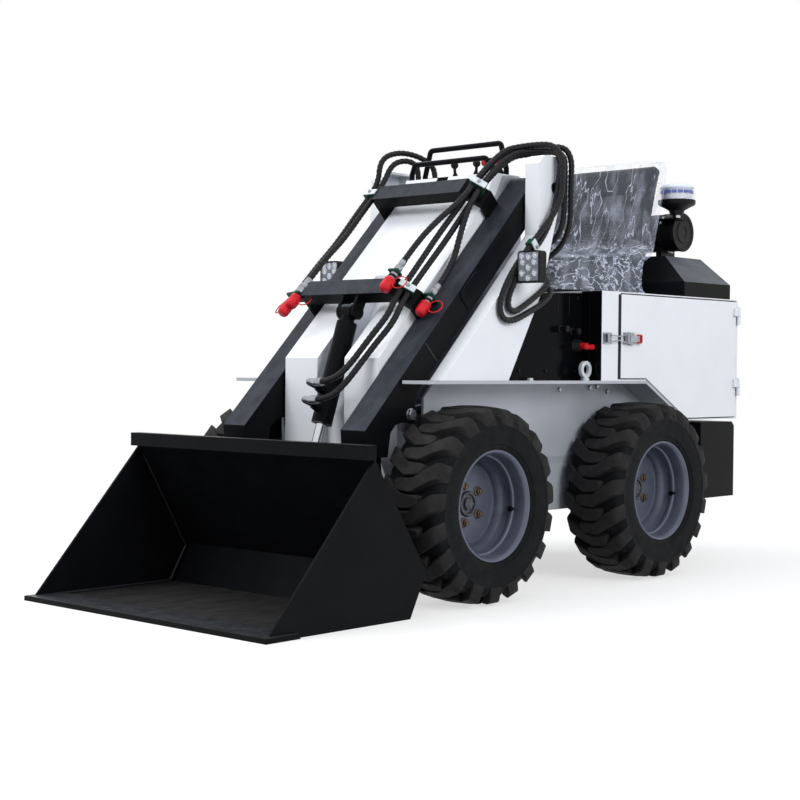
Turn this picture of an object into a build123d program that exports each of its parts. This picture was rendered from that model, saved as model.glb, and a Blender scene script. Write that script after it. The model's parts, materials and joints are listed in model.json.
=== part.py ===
from build123d import *
from math import atan2, cos, degrees, hypot, pi, radians, sin, sqrt, tan
import os

# Ride-on mini skid steer loader.  Millimetres, +Z up, +X to the machine's left, the bucket at -Y.
# The origin is on the ground, under the middle of the machine.

os.makedirs("parts", exist_ok=True)

# ---------------------------------------------------------------- overall layout
overall_length = 2458      # cutting edge to the back of the counterweight
front_y = -overall_length / 2
rear_y = overall_length / 2
wheelbase = 880
front_axle_y = -325
rear_axle_y = front_axle_y + wheelbase
tyre_diameter = 584
tyre_width = 216
axle_z = tyre_diameter / 2
half_track = 530           # middle of the machine to the outer side of a tyre
pin_play = 0.3             # radial clearance of a pin or shaft in its hole
moving_gap = 6             # clearance between parts that pass each other

# ---------------------------------------------------------------- chassis
chassis_half = 305         # outer side of the chassis plates
plate = 10
chassis_bottom = 232
crease_z = 408             # fold line along the chassis side
crease_tuck = 6            # how far the side folds in below that line
chassis_front = front_axle_y - 76
chassis_rear = 1000
ledge_z = 655              # top of the ledges over the wheels
ledge_t = 10
ledge_half = 410
ledge_front = -504
ledge_rear = 620
fender_foot_y = 875        # lower end of the slanted mudguard
fender_foot_z = 516

# ---------------------------------------------------------------- lift arms
pivot_y = 150
pivot_z = 1268
arm_slope = 45.5           # degrees below horizontal, arms down
arm_depth = 82
arm_inner = 206
arm_outer = 304
arm_pin_d = 36
knee_y = -622
lower_pin_y = -585         # pins that carry the bucket's attachment plate
lower_pin_z = 88
knuckle_r = 24
knuckle_w = 54
pin_d = 26

slope_y = -cos(radians(arm_slope))     # unit vector down along the arm
slope_z = -sin(radians(arm_slope))
up_y = slope_z                         # unit vector square to the arm, up and forward
up_z = -slope_y
knee_run = (knee_y - pivot_y) / slope_y
knee_z = pivot_z + knee_run * slope_z


def along_arm(run, rise):
    """Point (y, z) a distance down the arm from its pivot and a rise above its middle line."""
    return (pivot_y + run * slope_y + rise * up_y, pivot_z + run * slope_z + rise * up_z)


# ---------------------------------------------------------------- bucket
bucket_half = 506          # outer side of the side walls
edge_half = 520            # cutting edge
bucket_sheet = 8
bucket_heel_y = -676       # rear end of the floor
bucket_knee_y = -611       # rearmost line of the back
bucket_knee_z = 125
bucket_top_y = -822
bucket_top_z = 446
edge_t = 14
edge_depth = 120
bar_h = 40
bar_d = 34

# ---------------------------------------------------------------- cylinders
lift_base_y = 374
lift_base_z = 700
lift_rod_run = 935         # rod pin of the lift cylinder, measured down the arm
lift_rod_drop = 66         # and below its middle line
cylinder_x = 255
lift_bore_d = 60
lift_rod_d = 32
tilt_base_y = -405
tilt_base_z = 862
tilt_eye_y = -616
tilt_eye_z = 256
tilt_bore_d = 64
tilt_rod_d = 32
eye_d = 50
eye_w = 44
neck = 36                  # from a barrel's pin to the start of its tube


def finish(part, name):
    """Label a piece and write it to its own file."""
    part.label = name
    export_step(part, f"parts/{name}.step")


def profile_yz(points, x0, x1):
    """Flat piece with a (y, z) outline, from x0 to x1."""
    with BuildPart() as piece:
        with BuildSketch(Plane.YZ.offset(x0)):
            with BuildLine():
                Polyline(*points, close=True)
            make_face()
        extrude(amount=x1 - x0)
    return piece.part


def block(x0, x1, y0, y1, z0, z1, radius=0):
    """Upright box between two corners, with its vertical edges rounded."""
    with BuildPart() as piece:
        with BuildSketch(Plane.XY.offset(z0)):
            with Locations(((x0 + x1) / 2, (y0 + y1) / 2)):
                if radius:
                    RectangleRounded(x1 - x0, y1 - y0, radius)
                else:
                    Rectangle(x1 - x0, y1 - y0)
        extrude(amount=z1 - z0)
    return piece.part


# ================================================================ wheels
# Each wheel turns on a stub shaft through the chassis plate: shaft and flange, steel rim, tyre.
rim_bead_d = 305
rim_flange_d = 340
rim_inset = 10             # tyre side wall to the rim's flange
rim_half = tyre_width / 2 - rim_inset
disc_inset = 108           # outer flange to the wheel disc
disc_t = 7
hub_bore_d = 76
stud_circle_d = 114.3
stud_d = 14
shaft_d = 60
housing_d = 104
tyre_mid_x = half_track - tyre_width / 2
disc_x = half_track - rim_inset - disc_inset - disc_t   # inner side of the wheel disc
flange_t = 14

with BuildPart() as tyre:
    with BuildSketch(Plane.XY) as tyre_section:
        with BuildLine():
            crown = tyre_diameter / 2
            bead = rim_bead_d / 2
            half = tyre_width / 2
            Polyline((bead + 3, rim_half - 14), (bead + 24, rim_half - 8), (bead + 30, half - 4))
            ThreePointArc((bead + 30, half - 4), (bead + 66, half), (crown - 42, half - 6))
            ThreePointArc((crown - 42, half - 6), (crown - 14, half - 18), (crown - 2, half - 46))
            ThreePointArc((crown - 2, half - 46), (crown, 0), (crown - 2, 46 - half))
            ThreePointArc((crown - 2, 46 - half), (crown - 14, 18 - half), (crown - 42, 6 - half))
            ThreePointArc((crown - 42, 6 - half), (bead + 66, -half), (bead + 30, 4 - half))
            Polyline((bead + 30, 4 - half), (bead + 24, 8 - rim_half), (bead + 3, 14 - rim_half),
                     (bead + 3, rim_half - 14))
        make_face()
    revolve(axis=Axis.Y)

with BuildPart() as rim:
    with BuildSketch(Plane.XY):
        with BuildLine():
            lip = rim_flange_d / 2
            bead = rim_bead_d / 2
            well = bead - 18
            Polyline((lip, rim_half), (lip, rim_half - 5), (bead + 2.4, rim_half - 14),
                     (bead + 2.4, rim_half - 36), (well, rim_half - 56), (well, 56 - rim_half),
                     (bead + 2.4, 36 - rim_half), (bead + 2.4, 14 - rim_half), (lip, 5 - rim_half),
                     (lip, -rim_half), (bead - 2, 12 - rim_half), (bead - 2, 37 - rim_half),
                     (well - 4, 58 - rim_half), (well - 4, rim_half - 58), (bead - 2, rim_half - 37),
                     (bead - 2, rim_half - 12), (lip, rim_half))
        make_face()
    revolve(axis=Axis.Y)
    disc_out = rim_half - disc_inset
    with BuildSketch(Plane.XZ.offset(-disc_out)):
        Circle(well - 3)
        Circle(hub_bore_d / 2, mode=Mode.SUBTRACT)
        with PolarLocations(stud_circle_d / 2, 5):
            Circle(stud_d / 2 + pin_play, mode=Mode.SUBTRACT)
    extrude(amount=disc_t)

with BuildPart() as axle:
    with BuildSketch(Plane.YZ.offset(disc_x - flange_t)):
        Circle(92)
    extrude(amount=flange_t)
    with BuildSketch(Plane.YZ.offset(disc_x)):
        Circle(hub_bore_d / 2 - pin_play)
    extrude(amount=34)
    with BuildSketch(Plane.YZ.offset(chassis_half - 60)):
        Circle(shaft_d / 2)
    extrude(amount=disc_x - flange_t - chassis_half + 60)
    with BuildSketch(Plane.YZ.offset(disc_x)):
        with PolarLocations(stud_circle_d / 2, 5, start_angle=90):
            Circle(stud_d / 2)
    extrude(amount=24)

wheel_frames = [
    # name, side, axle y
    ("front_left", 1, front_axle_y),
    ("front_right", -1, front_axle_y),
    ("rear_left", 1, rear_axle_y),
    ("rear_right", -1, rear_axle_y),
]
for name, side, axle_y in wheel_frames:
    hub_plane = Plane(origin=(side * tyre_mid_x, axle_y, axle_z), x_dir=(0, 0, 1), z_dir=(0, side, 0))
    finish(hub_plane.location * tyre.part, f"tyre_{name}")
    finish(hub_plane.location * rim.part, f"rim_{name}")
    stub = Pos(0, axle_y, axle_z) * axle.part
    finish(stub if side > 0 else mirror(stub, about=Plane.YZ), f"axle_{name}")

# ================================================================ chassis
# Folded side plates on a floor pan, a low front plate and a shaft housing at each wheel.
front_plate_z = 500
pan_half = chassis_half - plate
slot_inner = arm_inner - moving_gap        # outer side of what stands between the arms

core_outline = [            # plates inside the arms, from the floor up to the pivots
    (chassis_front + plate - 1, chassis_bottom + 2), (chassis_front + plate - 1, 560), (60, 1020), (60, 1240),
    (104, 1316), (188, 1316), (188, 1020), (40, 700), (40, chassis_bottom + 2),
]
with BuildPart() as chassis:
    for side in (1, -1):
        with BuildSketch(Plane.XZ.offset(-chassis_front)):
            with BuildLine():
                fold = side * (chassis_half - crease_tuck)
                Polyline((side * chassis_half, ledge_z - ledge_t), (side * chassis_half, crease_z),
                         (fold, crease_z - 24), (fold, chassis_bottom),
                         (fold - side * plate, chassis_bottom), (fold - side * plate, crease_z - 24),
                         (side * pan_half, crease_z), (side * pan_half, ledge_z - ledge_t), close=True)
            make_face()
        extrude(amount=chassis_front - chassis_rear)
    with BuildSketch(Plane.XY.offset(chassis_bottom)):
        with Locations((0, (chassis_front + chassis_rear) / 2)):
            Rectangle(2 * pan_half, chassis_rear - chassis_front)
    extrude(amount=plate)
    with BuildSketch(Plane.XZ.offset(-chassis_front)):
        with Locations((0, (chassis_bottom + front_plate_z) / 2)):
            Rectangle(2 * pan_half, front_plate_z - chassis_bottom)
    extrude(amount=-plate)
    with BuildSketch(Plane.YZ.offset(-chassis_half - 2)):
        with Locations((front_axle_y, axle_z), (rear_axle_y, axle_z)):
            Circle(housing_d / 2)
    extrude(amount=56)
    with BuildSketch(Plane.YZ.offset(chassis_half + 2)):
        with Locations((front_axle_y, axle_z), (rear_axle_y, axle_z)):
            Circle(housing_d / 2)
    extrude(amount=-56)
    with Locations((0, front_axle_y, axle_z), (0, rear_axle_y, axle_z)):
        Cylinder(shaft_d / 2 + pin_play, 2 * chassis_half + 20, rotation=(0, 90, 0), mode=Mode.SUBTRACT)
    nose = [(chassis_front, crease_z), (chassis_front, chassis_bottom), (chassis_front + 70, chassis_bottom)]
    brow = [(chassis_front, ledge_z), (chassis_front, ledge_z - 50), (chassis_front + 50, ledge_z)]
    for corner in (nose, brow):
        with BuildSketch(Plane.YZ.offset(-chassis_half)):
            with BuildLine():
                Polyline(*corner, close=True)
            make_face()
        extrude(amount=2 * chassis_half, mode=Mode.SUBTRACT)
    for core_x in (-slot_inner, slot_inner - plate):
        with BuildSketch(Plane.YZ.offset(core_x)):
            with BuildLine():
                Polyline(*core_outline, close=True)
            make_face()
            with Locations((pivot_y, pivot_z)):
                Circle(arm_pin_d / 2 + pin_play, mode=Mode.SUBTRACT)
        extrude(amount=plate)
    for lug_x in (cylinder_x - eye_w / 2 - 4 - plate, cylinder_x + eye_w / 2 + 4):
        for side in (1, -1):
            with BuildSketch(Plane.YZ.offset(side * (lug_x + plate / 2) - plate / 2)):
                with BuildLine():
                    Polyline((lift_base_y - 60, chassis_bottom + 2), (lift_base_y + 60, chassis_bottom + 2),
                             (lift_base_y + 26, lift_base_z), (lift_base_y - 26, lift_base_z), close=True)
                make_face()
                with Locations((lift_base_y, lift_base_z)):
                    Circle(26)
            extrude(amount=plate)
    for side in (1, -1):
        with BuildSketch(Plane.YZ.offset(side * cylinder_x - eye_w / 2 - 4 - plate)):
            with Locations((lift_base_y, lift_base_z)):
                Circle(pin_d / 2)
        extrude(amount=eye_w + 8 + 2 * plate)
finish(chassis.part, "chassis_frame")

# ---------------------------------------------------------------- ledges and mudguards
with BuildPart() as fender:
    with BuildSketch(Plane.YZ.offset(chassis_half)):
        with BuildLine():
            drop = (ledge_z - fender_foot_z) / (fender_foot_y - ledge_rear)
            lap = ledge_t * hypot(1, drop)
            Polyline((ledge_front, ledge_z - ledge_t), (ledge_rear - 4, ledge_z - ledge_t),
                     (fender_foot_y, fender_foot_z - lap + 4), (fender_foot_y, fender_foot_z),
                     (ledge_rear, ledge_z), (ledge_front, ledge_z), close=True)
        make_face()
    extrude(amount=ledge_half - chassis_half)
    with BuildSketch(Plane.XY.offset(ledge_z - ledge_t)):
        with Locations(((pan_half + chassis_half) / 2, (chassis_front + 60 + ledge_rear) / 2)):
            Rectangle(plate, ledge_rear - chassis_front - 60)
    extrude(amount=ledge_t)
    with BuildSketch(Plane.XY.offset(ledge_z - ledge_t)):
        with Locations((chassis_half, ledge_front)):
            Rectangle(2 * moving_gap, 2 * (chassis_front + 60 - ledge_front))
    extrude(amount=ledge_t, mode=Mode.SUBTRACT)
finish(fender.part, "fender_left")
finish(mirror(fender.part, about=Plane.YZ), "fender_right")

# ---------------------------------------------------------------- tower
# A pillar outside each arm, with a front face that follows the arm, and the console between them.
pillar_out = 365
pillar_in = arm_outer + moving_gap
pillar_sheet = 8
tower_top = 1367
pillar_shoulder_z = 1190
pillar_nose_y = 69
pillar_back_y = 222
pillar_waist_y = 87
pillar_waist_z = 933
pillar_foot_y = -75
pillar_under = -(arm_depth / 2 + moving_gap + 3)       # rise of its front face, clear of the arm

foot_run = (ledge_z - along_arm(0, pillar_under)[1]) / slope_z
nose_run = (pillar_nose_y - along_arm(0, pillar_under)[0]) / slope_y
pillar_outline = [
    along_arm(foot_run, pillar_under),
    along_arm(nose_run, pillar_under),
    (pillar_nose_y, tower_top - 26),
    (pillar_nose_y + 26, tower_top),
    (pillar_back_y, tower_top),
    (pillar_waist_y, pillar_waist_z),
    (pillar_foot_y, ledge_z),
]
with BuildPart() as pillar:
    with BuildSketch(Plane.YZ.offset(pillar_in)):
        with BuildLine():
            Polyline(*pillar_outline, close=True)
        make_face()
    extrude(amount=pillar_out - pillar_in)
    inner_skin = pillar.faces().sort_by(Axis.X)[0]
    offset(amount=-pillar_sheet, openings=inner_skin)
    with BuildSketch(Plane.YZ.offset(pillar_in)):
        with Locations((pivot_y, pivot_z)):
            Circle(46)
    extrude(amount=pillar_out - pillar_in)
    with Locations((0, pivot_y, pivot_z)):
        Cylinder(arm_pin_d / 2 + pin_play, 900, rotation=(0, 90, 0), mode=Mode.SUBTRACT)
finish(pillar.part, "tower_left")
finish(mirror(pillar.part, about=Plane.YZ), "tower_right")

cover_half = slot_inner
cover_nose_y = -486        # the cover stands ahead of the chassis, between the arms
cover_nose_z = 720
cover_low_z = 500
cover_rise = arm_depth / 2 + 29
recess_half = 58
cover_top_run = -96
cover_sheet = 5
console_back = 190
console_top = 1322
console_floor = 1000

cover_top = along_arm(110, cover_rise)
cover_side = [
    (chassis_front, chassis_bottom + 20), (cover_nose_y, cover_low_z - 60), (cover_nose_y, cover_nose_z),
    cover_top, (cover_top[0], 1060), (chassis_front, 590),
]
with BuildPart() as cover:
    with BuildSketch(Plane.YZ.offset(-cover_half)):
        with BuildLine():
            Polyline(*cover_side, close=True)
        make_face()
    extrude(amount=2 * cover_half)
    with BuildSketch(Plane.YZ.offset(-recess_half)):
        with BuildLine():
            Polyline((cover_nose_y - 50, chassis_bottom), (cover_nose_y - 50, 1100),
                     along_arm(460, cover_rise + 5), along_arm(520, 10),
                     (chassis_front - 40, cover_low_z + 60), (chassis_front - 40, chassis_bottom), close=True)
        make_face()
    extrude(amount=2 * recess_half, mode=Mode.SUBTRACT)
    back_faces = cover.faces().filter_by(lambda face: face.normal_at().Y > 0.3)
    offset(amount=-cover_sheet, openings=back_faces)
finish(cover.part, "centre_cover")

console_half = slot_inner - plate
console_front = cover_top[0] + pin_play
console_outline = [
    (console_front, console_floor), (console_front, cover_top[1]), (console_front + 36, console_top),
    (console_back, console_top), (console_back, console_floor),
]
with BuildPart() as console:
    with BuildSketch(Plane.YZ.offset(-console_half)):
        with BuildLine():
            Polyline(*console_outline, close=True)
        make_face()
    extrude(amount=2 * console_half)
    offset(amount=-cover_sheet, openings=console.faces().sort_by(Axis.Z)[0])
    with Locations((0, pivot_y, pivot_z)):
        Cylinder(arm_pin_d / 2 + 2, 900, rotation=(0, 90, 0), mode=Mode.SUBTRACT)
finish(console.part, "console")

# ---------------------------------------------------------------- grab rails and levers
rail_d = 18
rail_table = [
    # y and z of the bar, half width of the bar, y of the foot, half width of the feet
    (139, 1428, 152, 139, 176),
    (60, 1372, 152, 72, 176),
]
with BuildPart() as rails:
    for bar_y, bar_z, bar_x, foot_y, foot_x in rail_table:
        with BuildLine() as path:
            FilletPolyline((-foot_x, foot_y, console_top), (-foot_x, foot_y, console_top + 20),
                           (-bar_x, bar_y, bar_z), (bar_x, bar_y, bar_z),
                           (foot_x, foot_y, console_top + 20), (foot_x, foot_y, console_top), radius=14)
        with BuildSketch(Plane(origin=path.line @ 0, z_dir=path.line % 0)):
            Circle(rail_d / 2)
        sweep(path=path.line)
finish(rails.part, "grab_rails")

lever_table = [
    # x, y of the lever's foot, lean towards the front
    (-60, 160, 4), (30, 160, -4), (66, 168, 4), (98, 160, 8), (130, 168, 12),
]
with BuildPart() as levers:
    for lever_x, lever_y, lean in lever_table:
        foot = Plane(origin=(lever_x, lever_y, console_top), z_dir=(0, -sin(radians(lean)), cos(radians(lean))))
        with BuildSketch(Plane.XY.offset(console_top)):
            with Locations((lever_x, lever_y)):
                Circle(11)
        extrude(amount=9)
        with BuildSketch(foot.offset(3)):
            Circle(5)
        extrude(amount=41)
        with Locations(foot.location * Pos(0, 0, 52)):
            Sphere(13)
finish(levers.part, "control_levers")

# ---------------------------------------------------------------- side panels and footwell
panel_x = 320
panel_sheet = 8
strip_front = 356          # white strip ahead of each rear door
deck_z = 950
side_outline = [(pillar_foot_y + 1, ledge_z), (pillar_waist_y + 1, pillar_waist_z), (strip_front, deck_z - 6),
                (strip_front, ledge_z)]
side_panel = profile_yz(side_outline, panel_x, panel_x + panel_sheet)
finish(side_panel, "side_panel_left")
finish(mirror(side_panel, about=Plane.YZ), "side_panel_right")

floor_z = 560
floor_front = 44
floor_rear = 306
with BuildPart() as footwell:
    with BuildSketch(Plane.XY.offset(floor_z)):
        with Locations((0, (floor_front + floor_rear) / 2)):
            Rectangle(2 * pan_half, floor_rear - floor_front)
    extrude(amount=6)
finish(footwell.part, "footwell_floor")

# ---------------------------------------------------------------- rear body
# A sheet-steel box over the engine, with a door in each side, a hood and the seat on its deck.
body_half = 408
body_rear = 1214
body_sheet = 6
door_front = 465
door_rear = 1200
door_gap = 4
door_t = 12
door_out = 410
hinge_x = 418
hinge_y = 1207
hinge_d = 14
hinge_pin_d = 7
knuckle_h = 30
knuckle_rows = (600, 860)

body_outline = [(strip_front, ledge_z), (ledge_rear, ledge_z), (fender_foot_y, fender_foot_z),
                (body_rear, fender_foot_z), (body_rear, deck_z), (strip_front, deck_z)]
door_outline = [(door_front, ledge_z + 8), (ledge_rear - 4, ledge_z + 8), (fender_foot_y - 4, fender_foot_z + 8),
                (door_rear, fender_foot_z + 8), (door_rear, deck_z - 8), (door_front, deck_z - 8)]
with BuildPart() as body:
    with BuildSketch(Plane.YZ.offset(-body_half)):
        with BuildLine():
            Polyline(*body_outline, close=True)
        make_face()
    extrude(amount=2 * body_half)
    with BuildSketch(Plane.YZ.offset(body_sheet - body_half)) as inside:
        with BuildLine():
            Polyline(*body_outline, close=True)
        make_face()
        offset(amount=-body_sheet)
    extrude(amount=2 * (body_half - body_sheet), mode=Mode.SUBTRACT)
    with BuildSketch(Plane.YZ.offset(-body_half - 1)):
        with BuildLine():
            Polyline(*door_outline, close=True)
        make_face()
        offset(amount=door_gap)
    extrude(amount=2 * body_half + 2, mode=Mode.SUBTRACT)
    with BuildSketch(Plane.XY.offset(fender_foot_z - 20)):
        with Locations((0, (strip_front + chassis_rear) / 2)):
            Rectangle(2 * chassis_half + 1, chassis_rear - strip_front + 2)
    extrude(amount=ledge_z - fender_foot_z + 30, mode=Mode.SUBTRACT)
    with BuildSketch(Plane.XZ.offset(-strip_front)):
        with Locations((0, (ledge_z + deck_z) / 2)):
            Rectangle(2 * panel_x, deck_z - ledge_z - 2 * body_sheet)
    extrude(amount=-2 * body_sheet, both=True, mode=Mode.SUBTRACT)
    for side in (1, -1):
        for knuckle_z in knuckle_rows:
            with BuildSketch(Plane.XY.offset(knuckle_z)):
                with Locations((side * hinge_x, hinge_y)):
                    Circle(hinge_d / 2)
                with Locations((side * (hinge_x + body_half - 3) / 2, body_rear - 3)):
                    Rectangle(hinge_x - body_half + 3, 6)
            extrude(amount=knuckle_h)
            with BuildSketch(Plane.XY.offset(knuckle_z)):
                with Locations((side * hinge_x, hinge_y)):
                    Circle(hinge_pin_d / 2)
            extrude(amount=2 * knuckle_h + 6)
finish(body.part, "rear_body")

with BuildPart() as door:
    with BuildSketch(Plane.YZ.offset(door_out - door_t)):
        with BuildLine():
            Polyline(*door_outline, close=True)
        make_face()
    extrude(amount=door_t)
    for knuckle_z in knuckle_rows:
        with BuildSketch(Plane.XY.offset(knuckle_z + knuckle_h + 1)):
            with Locations((hinge_x, hinge_y)):
                Circle(hinge_d / 2)
            with Locations(((door_out - 1 + hinge_x) / 2, hinge_y - 14)):
                Rectangle(hinge_x - door_out + 1, 28)
            with Locations((hinge_x, hinge_y)):
                Circle(hinge_pin_d / 2 + pin_play, mode=Mode.SUBTRACT)
        extrude(amount=knuckle_h)
finish(door.part, "door_left")
finish(mirror(door.part, about=Plane.YZ), "door_right")

hood_front = 904
hood_low_half = 375
hood_top_half = 247
hood_side_z = 1005
hood_top_z = 1105
with BuildPart() as hood:
    with BuildSketch(Plane.XZ.offset(-hood_front)):
        with BuildLine():
            Polyline((-hood_low_half, deck_z), (hood_low_half, deck_z), (hood_low_half, hood_side_z),
                     (hood_top_half, hood_top_z), (-hood_top_half, hood_top_z), (-hood_low_half, hood_side_z),
                     close=True)
        make_face()
    extrude(amount=hood_front - body_rear)
    with BuildSketch(Plane.YZ.offset(-hood_low_half - 1)):
        with BuildLine():
            Polyline((hood_front - 1, hood_side_z), (hood_front + 70, hood_top_z + 1),
                     (hood_front - 1, hood_top_z + 1), close=True)
        make_face()
    extrude(amount=2 * hood_low_half + 2, mode=Mode.SUBTRACT)
    offset(amount=-4, openings=hood.faces().sort_by(Axis.Z)[0])
finish(hood.part, "rear_hood")

# ---------------------------------------------------------------- counterweight and engine
weight_half = 390
weight_top = 505
with BuildPart() as weight:
    with BuildSketch(Plane.XY.offset(chassis_bottom)):
        with Locations((0, (chassis_rear + rear_y) / 2)):
            Rectangle(2 * weight_half, rear_y - chassis_rear)
    extrude(amount=weight_top - chassis_bottom)
    top_edge = weight.edges().filter_by(Axis.X).group_by(Axis.Y)[-1].sort_by(Axis.Z)[-1]
    chamfer(top_edge, length=16)
finish(weight.part, "counterweight")

engine_y = (524, 974)
finish(block(-200, 200, *engine_y, chassis_bottom + plate, 760, 20), "engine")

# ---------------------------------------------------------------- seat
seat_half = 235
seat_front = 364
seat_back_y = 862
seat_z = 985
cushion_t = 76
seat_top = 1450
finish(block(-150, 150, seat_front + 80, seat_back_y - 40, deck_z, seat_z - pin_play, 12), "seat_base")
with BuildPart() as cushion:
    with BuildSketch(Plane.XY.offset(seat_z)):
        with Locations((0, (seat_front + seat_back_y) / 2)):
            RectangleRounded(2 * seat_half, seat_back_y - seat_front, 60)
    extrude(amount=cushion_t)
    fillet(cushion.faces().sort_by(Axis.Z)[-1].edges(), 24)
finish(cushion.part, "seat_cushion")

with BuildPart() as backrest:
    with BuildSketch(Plane.YZ.offset(-seat_half)):
        with BuildLine():
            Polyline((seat_back_y - 24, seat_z + cushion_t + pin_play), (seat_back_y + 44, seat_z + cushion_t + pin_play),
                     (seat_back_y + 152, seat_top), (seat_back_y + 86, seat_top), close=True)
        make_face()
        fillet(vertices().group_by(Axis.Y)[-1], 20)
    extrude(amount=2 * seat_half)
finish(backrest.part, "seat_backrest")

# ---------------------------------------------------------------- air cleaner and beacon
cleaner_d = 140
cleaner_y = 1154
cleaner_z = 1204
with BuildPart() as cleaner:
    with BuildSketch(Plane.YZ.offset(-60)):
        with Locations((cleaner_y, cleaner_z)):
            Circle(cleaner_d / 2)
    extrude(amount=260)
    for saddle_x in (-20, 120):
        with BuildSketch(Plane.YZ.offset(saddle_x)):
            with Locations((cleaner_y, (hood_top_z + cleaner_z) / 2)):
                Rectangle(90, cleaner_z - hood_top_z)
        extrude(amount=24)
finish(cleaner.part, "air_cleaner")

beacon_x = 225
beacon_y = 1082
beacon_foot_z = 1290
with BuildPart() as beacon:
    with BuildSketch(Plane.XZ) as beacon_section:
        with BuildLine():
            Polyline((0, hood_top_z), (20, hood_top_z), (20, hood_top_z + 6), (8, hood_top_z + 10),
                     (8, beacon_foot_z - 30), (22, beacon_foot_z - 26), (24, beacon_foot_z), (62, beacon_foot_z + 6),
                     (69, beacon_foot_z + 16), (69, beacon_foot_z + 52), (60, beacon_foot_z + 74),
                     (0, beacon_foot_z + 96), close=True)
        make_face()
    revolve(axis=Axis.Z)
finish(Pos(beacon_x, beacon_y, 0) * beacon.part, "beacon")

# ---------------------------------------------------------------- work lights
light_w = 86
light_h = 98
light_t = 34
light_x = 430
light_y = -66              # front face
light_z = 1005
with BuildPart() as light:
    with BuildSketch(Plane.XZ.offset(-light_y)):
        with Locations((light_x, light_z)):
            RectangleRounded(light_w, light_h, 12)
    extrude(amount=-light_t)
    with BuildSketch(Plane.XZ.offset(-light_y)):
        with Locations((light_x, light_z)):
            RectangleRounded(light_w - 10, light_h - 10, 8)
    extrude(amount=-3, mode=Mode.SUBTRACT)
    with BuildSketch(Plane.XZ.offset(-light_y - light_t)):
        with GridLocations(0, 13, 1, 6):
            with Locations((light_x, light_z)):
                Rectangle(light_w - 20, 5)
    extrude(amount=-10)
    with BuildSketch(Plane.YZ.offset(pillar_out)):
        with Locations((light_y + light_t - 2, light_z - light_h / 2 + 7)):
            Rectangle(10, 12)
    extrude(amount=light_x - light_w / 2 - pillar_out + 8)
finish(light.part, "work_light_left")
finish(mirror(light.part, about=Plane.YZ), "work_light_right")

# ---------------------------------------------------------------- lifting eyes
eye_ring_d = 56
eye_hole_d = 32
eye_x = 372
eye_bolt_y = 316
with BuildPart() as ring:
    with BuildSketch(Plane.XY.offset(ledge_z)):
        with Locations((eye_x, eye_bolt_y)):
            Circle(14)
    extrude(amount=8)
    with BuildSketch(Plane.YZ.offset(eye_x - 6)):
        with Locations((eye_bolt_y, ledge_z + 8 + eye_ring_d / 2)):
            Circle(eye_ring_d / 2)
            Circle(eye_hole_d / 2, mode=Mode.SUBTRACT)
        with Locations((eye_bolt_y, ledge_z + 8)):
            Rectangle(20, 14)
    extrude(amount=12)
finish(ring.part, "lifting_eye_left")
finish(mirror(ring.part, about=Plane.YZ), "lifting_eye_right")

# ================================================================ lift arms
# Two straight box beams joined by two raised cross-members, with a leg down to the bucket.
rod_pin_y, rod_pin_z = along_arm(lift_rod_run, -lift_rod_drop)
beam_half = arm_depth / 2
arm_mid_x = (arm_inner + arm_outer) / 2
leg_in = arm_mid_x - knuckle_w / 2
lug_t = 10
pin_start = slot_inner - plate - 3
with BuildPart() as arm:
    with BuildSketch(Plane.YZ.offset(arm_inner)):
        with BuildLine():
            Polyline(along_arm(0, beam_half), along_arm(knee_run, beam_half),
                     (along_arm(knee_run, beam_half)[0] + 6, knee_z - 50), (knee_y + 66, knee_z - 50),
                     along_arm(knee_run - 70, -beam_half), along_arm(0, -beam_half), close=True)
        make_face()
        with Locations((pivot_y, pivot_z)):
            Circle(beam_half)
    extrude(amount=arm_outer - arm_inner)
    with BuildSketch(Plane.YZ.offset(leg_in)):
        with BuildLine():
            Polyline((along_arm(knee_run, beam_half)[0] + 6, knee_z - 40), (lower_pin_y - 45, lower_pin_z + 212),
                     (lower_pin_y, lower_pin_z + 84), (lower_pin_y - knuckle_r, lower_pin_z),
                     (lower_pin_y + knuckle_r, lower_pin_z), (lower_pin_y + 46, lower_pin_z + 92),
                     (knee_y + 60, knee_z - 40), close=True)
        make_face()
        with Locations((lower_pin_y, lower_pin_z)):
            Circle(knuckle_r)
    extrude(amount=knuckle_w)
    for lug_x in (arm_inner, arm_outer - lug_t):
        with BuildSketch(Plane.YZ.offset(lug_x)):
            with BuildLine():
                Polyline(along_arm(lift_rod_run - 70, -beam_half + 2), along_arm(lift_rod_run + 70, -beam_half + 2),
                         along_arm(lift_rod_run + 24, -lift_rod_drop), along_arm(lift_rod_run - 24, -lift_rod_drop),
                         close=True)
            make_face()
            with Locations((rod_pin_y, rod_pin_z)):
                Circle(26)
        extrude(amount=lug_t)
    with BuildSketch(Plane.YZ.offset(pin_start)):
        with Locations((pivot_y, pivot_z)):
            Circle(arm_pin_d / 2)
    extrude(amount=pillar_out + 6 - pin_start)
    with Locations((arm_mid_x, lower_pin_y, lower_pin_z)):
        Cylinder(pin_d / 2 + pin_play, 2 * knuckle_w, rotation=(0, 90, 0), mode=Mode.SUBTRACT)
finish(arm.part, "lift_arm_left")
finish(mirror(arm.part, about=Plane.YZ), "lift_arm_right")

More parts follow.
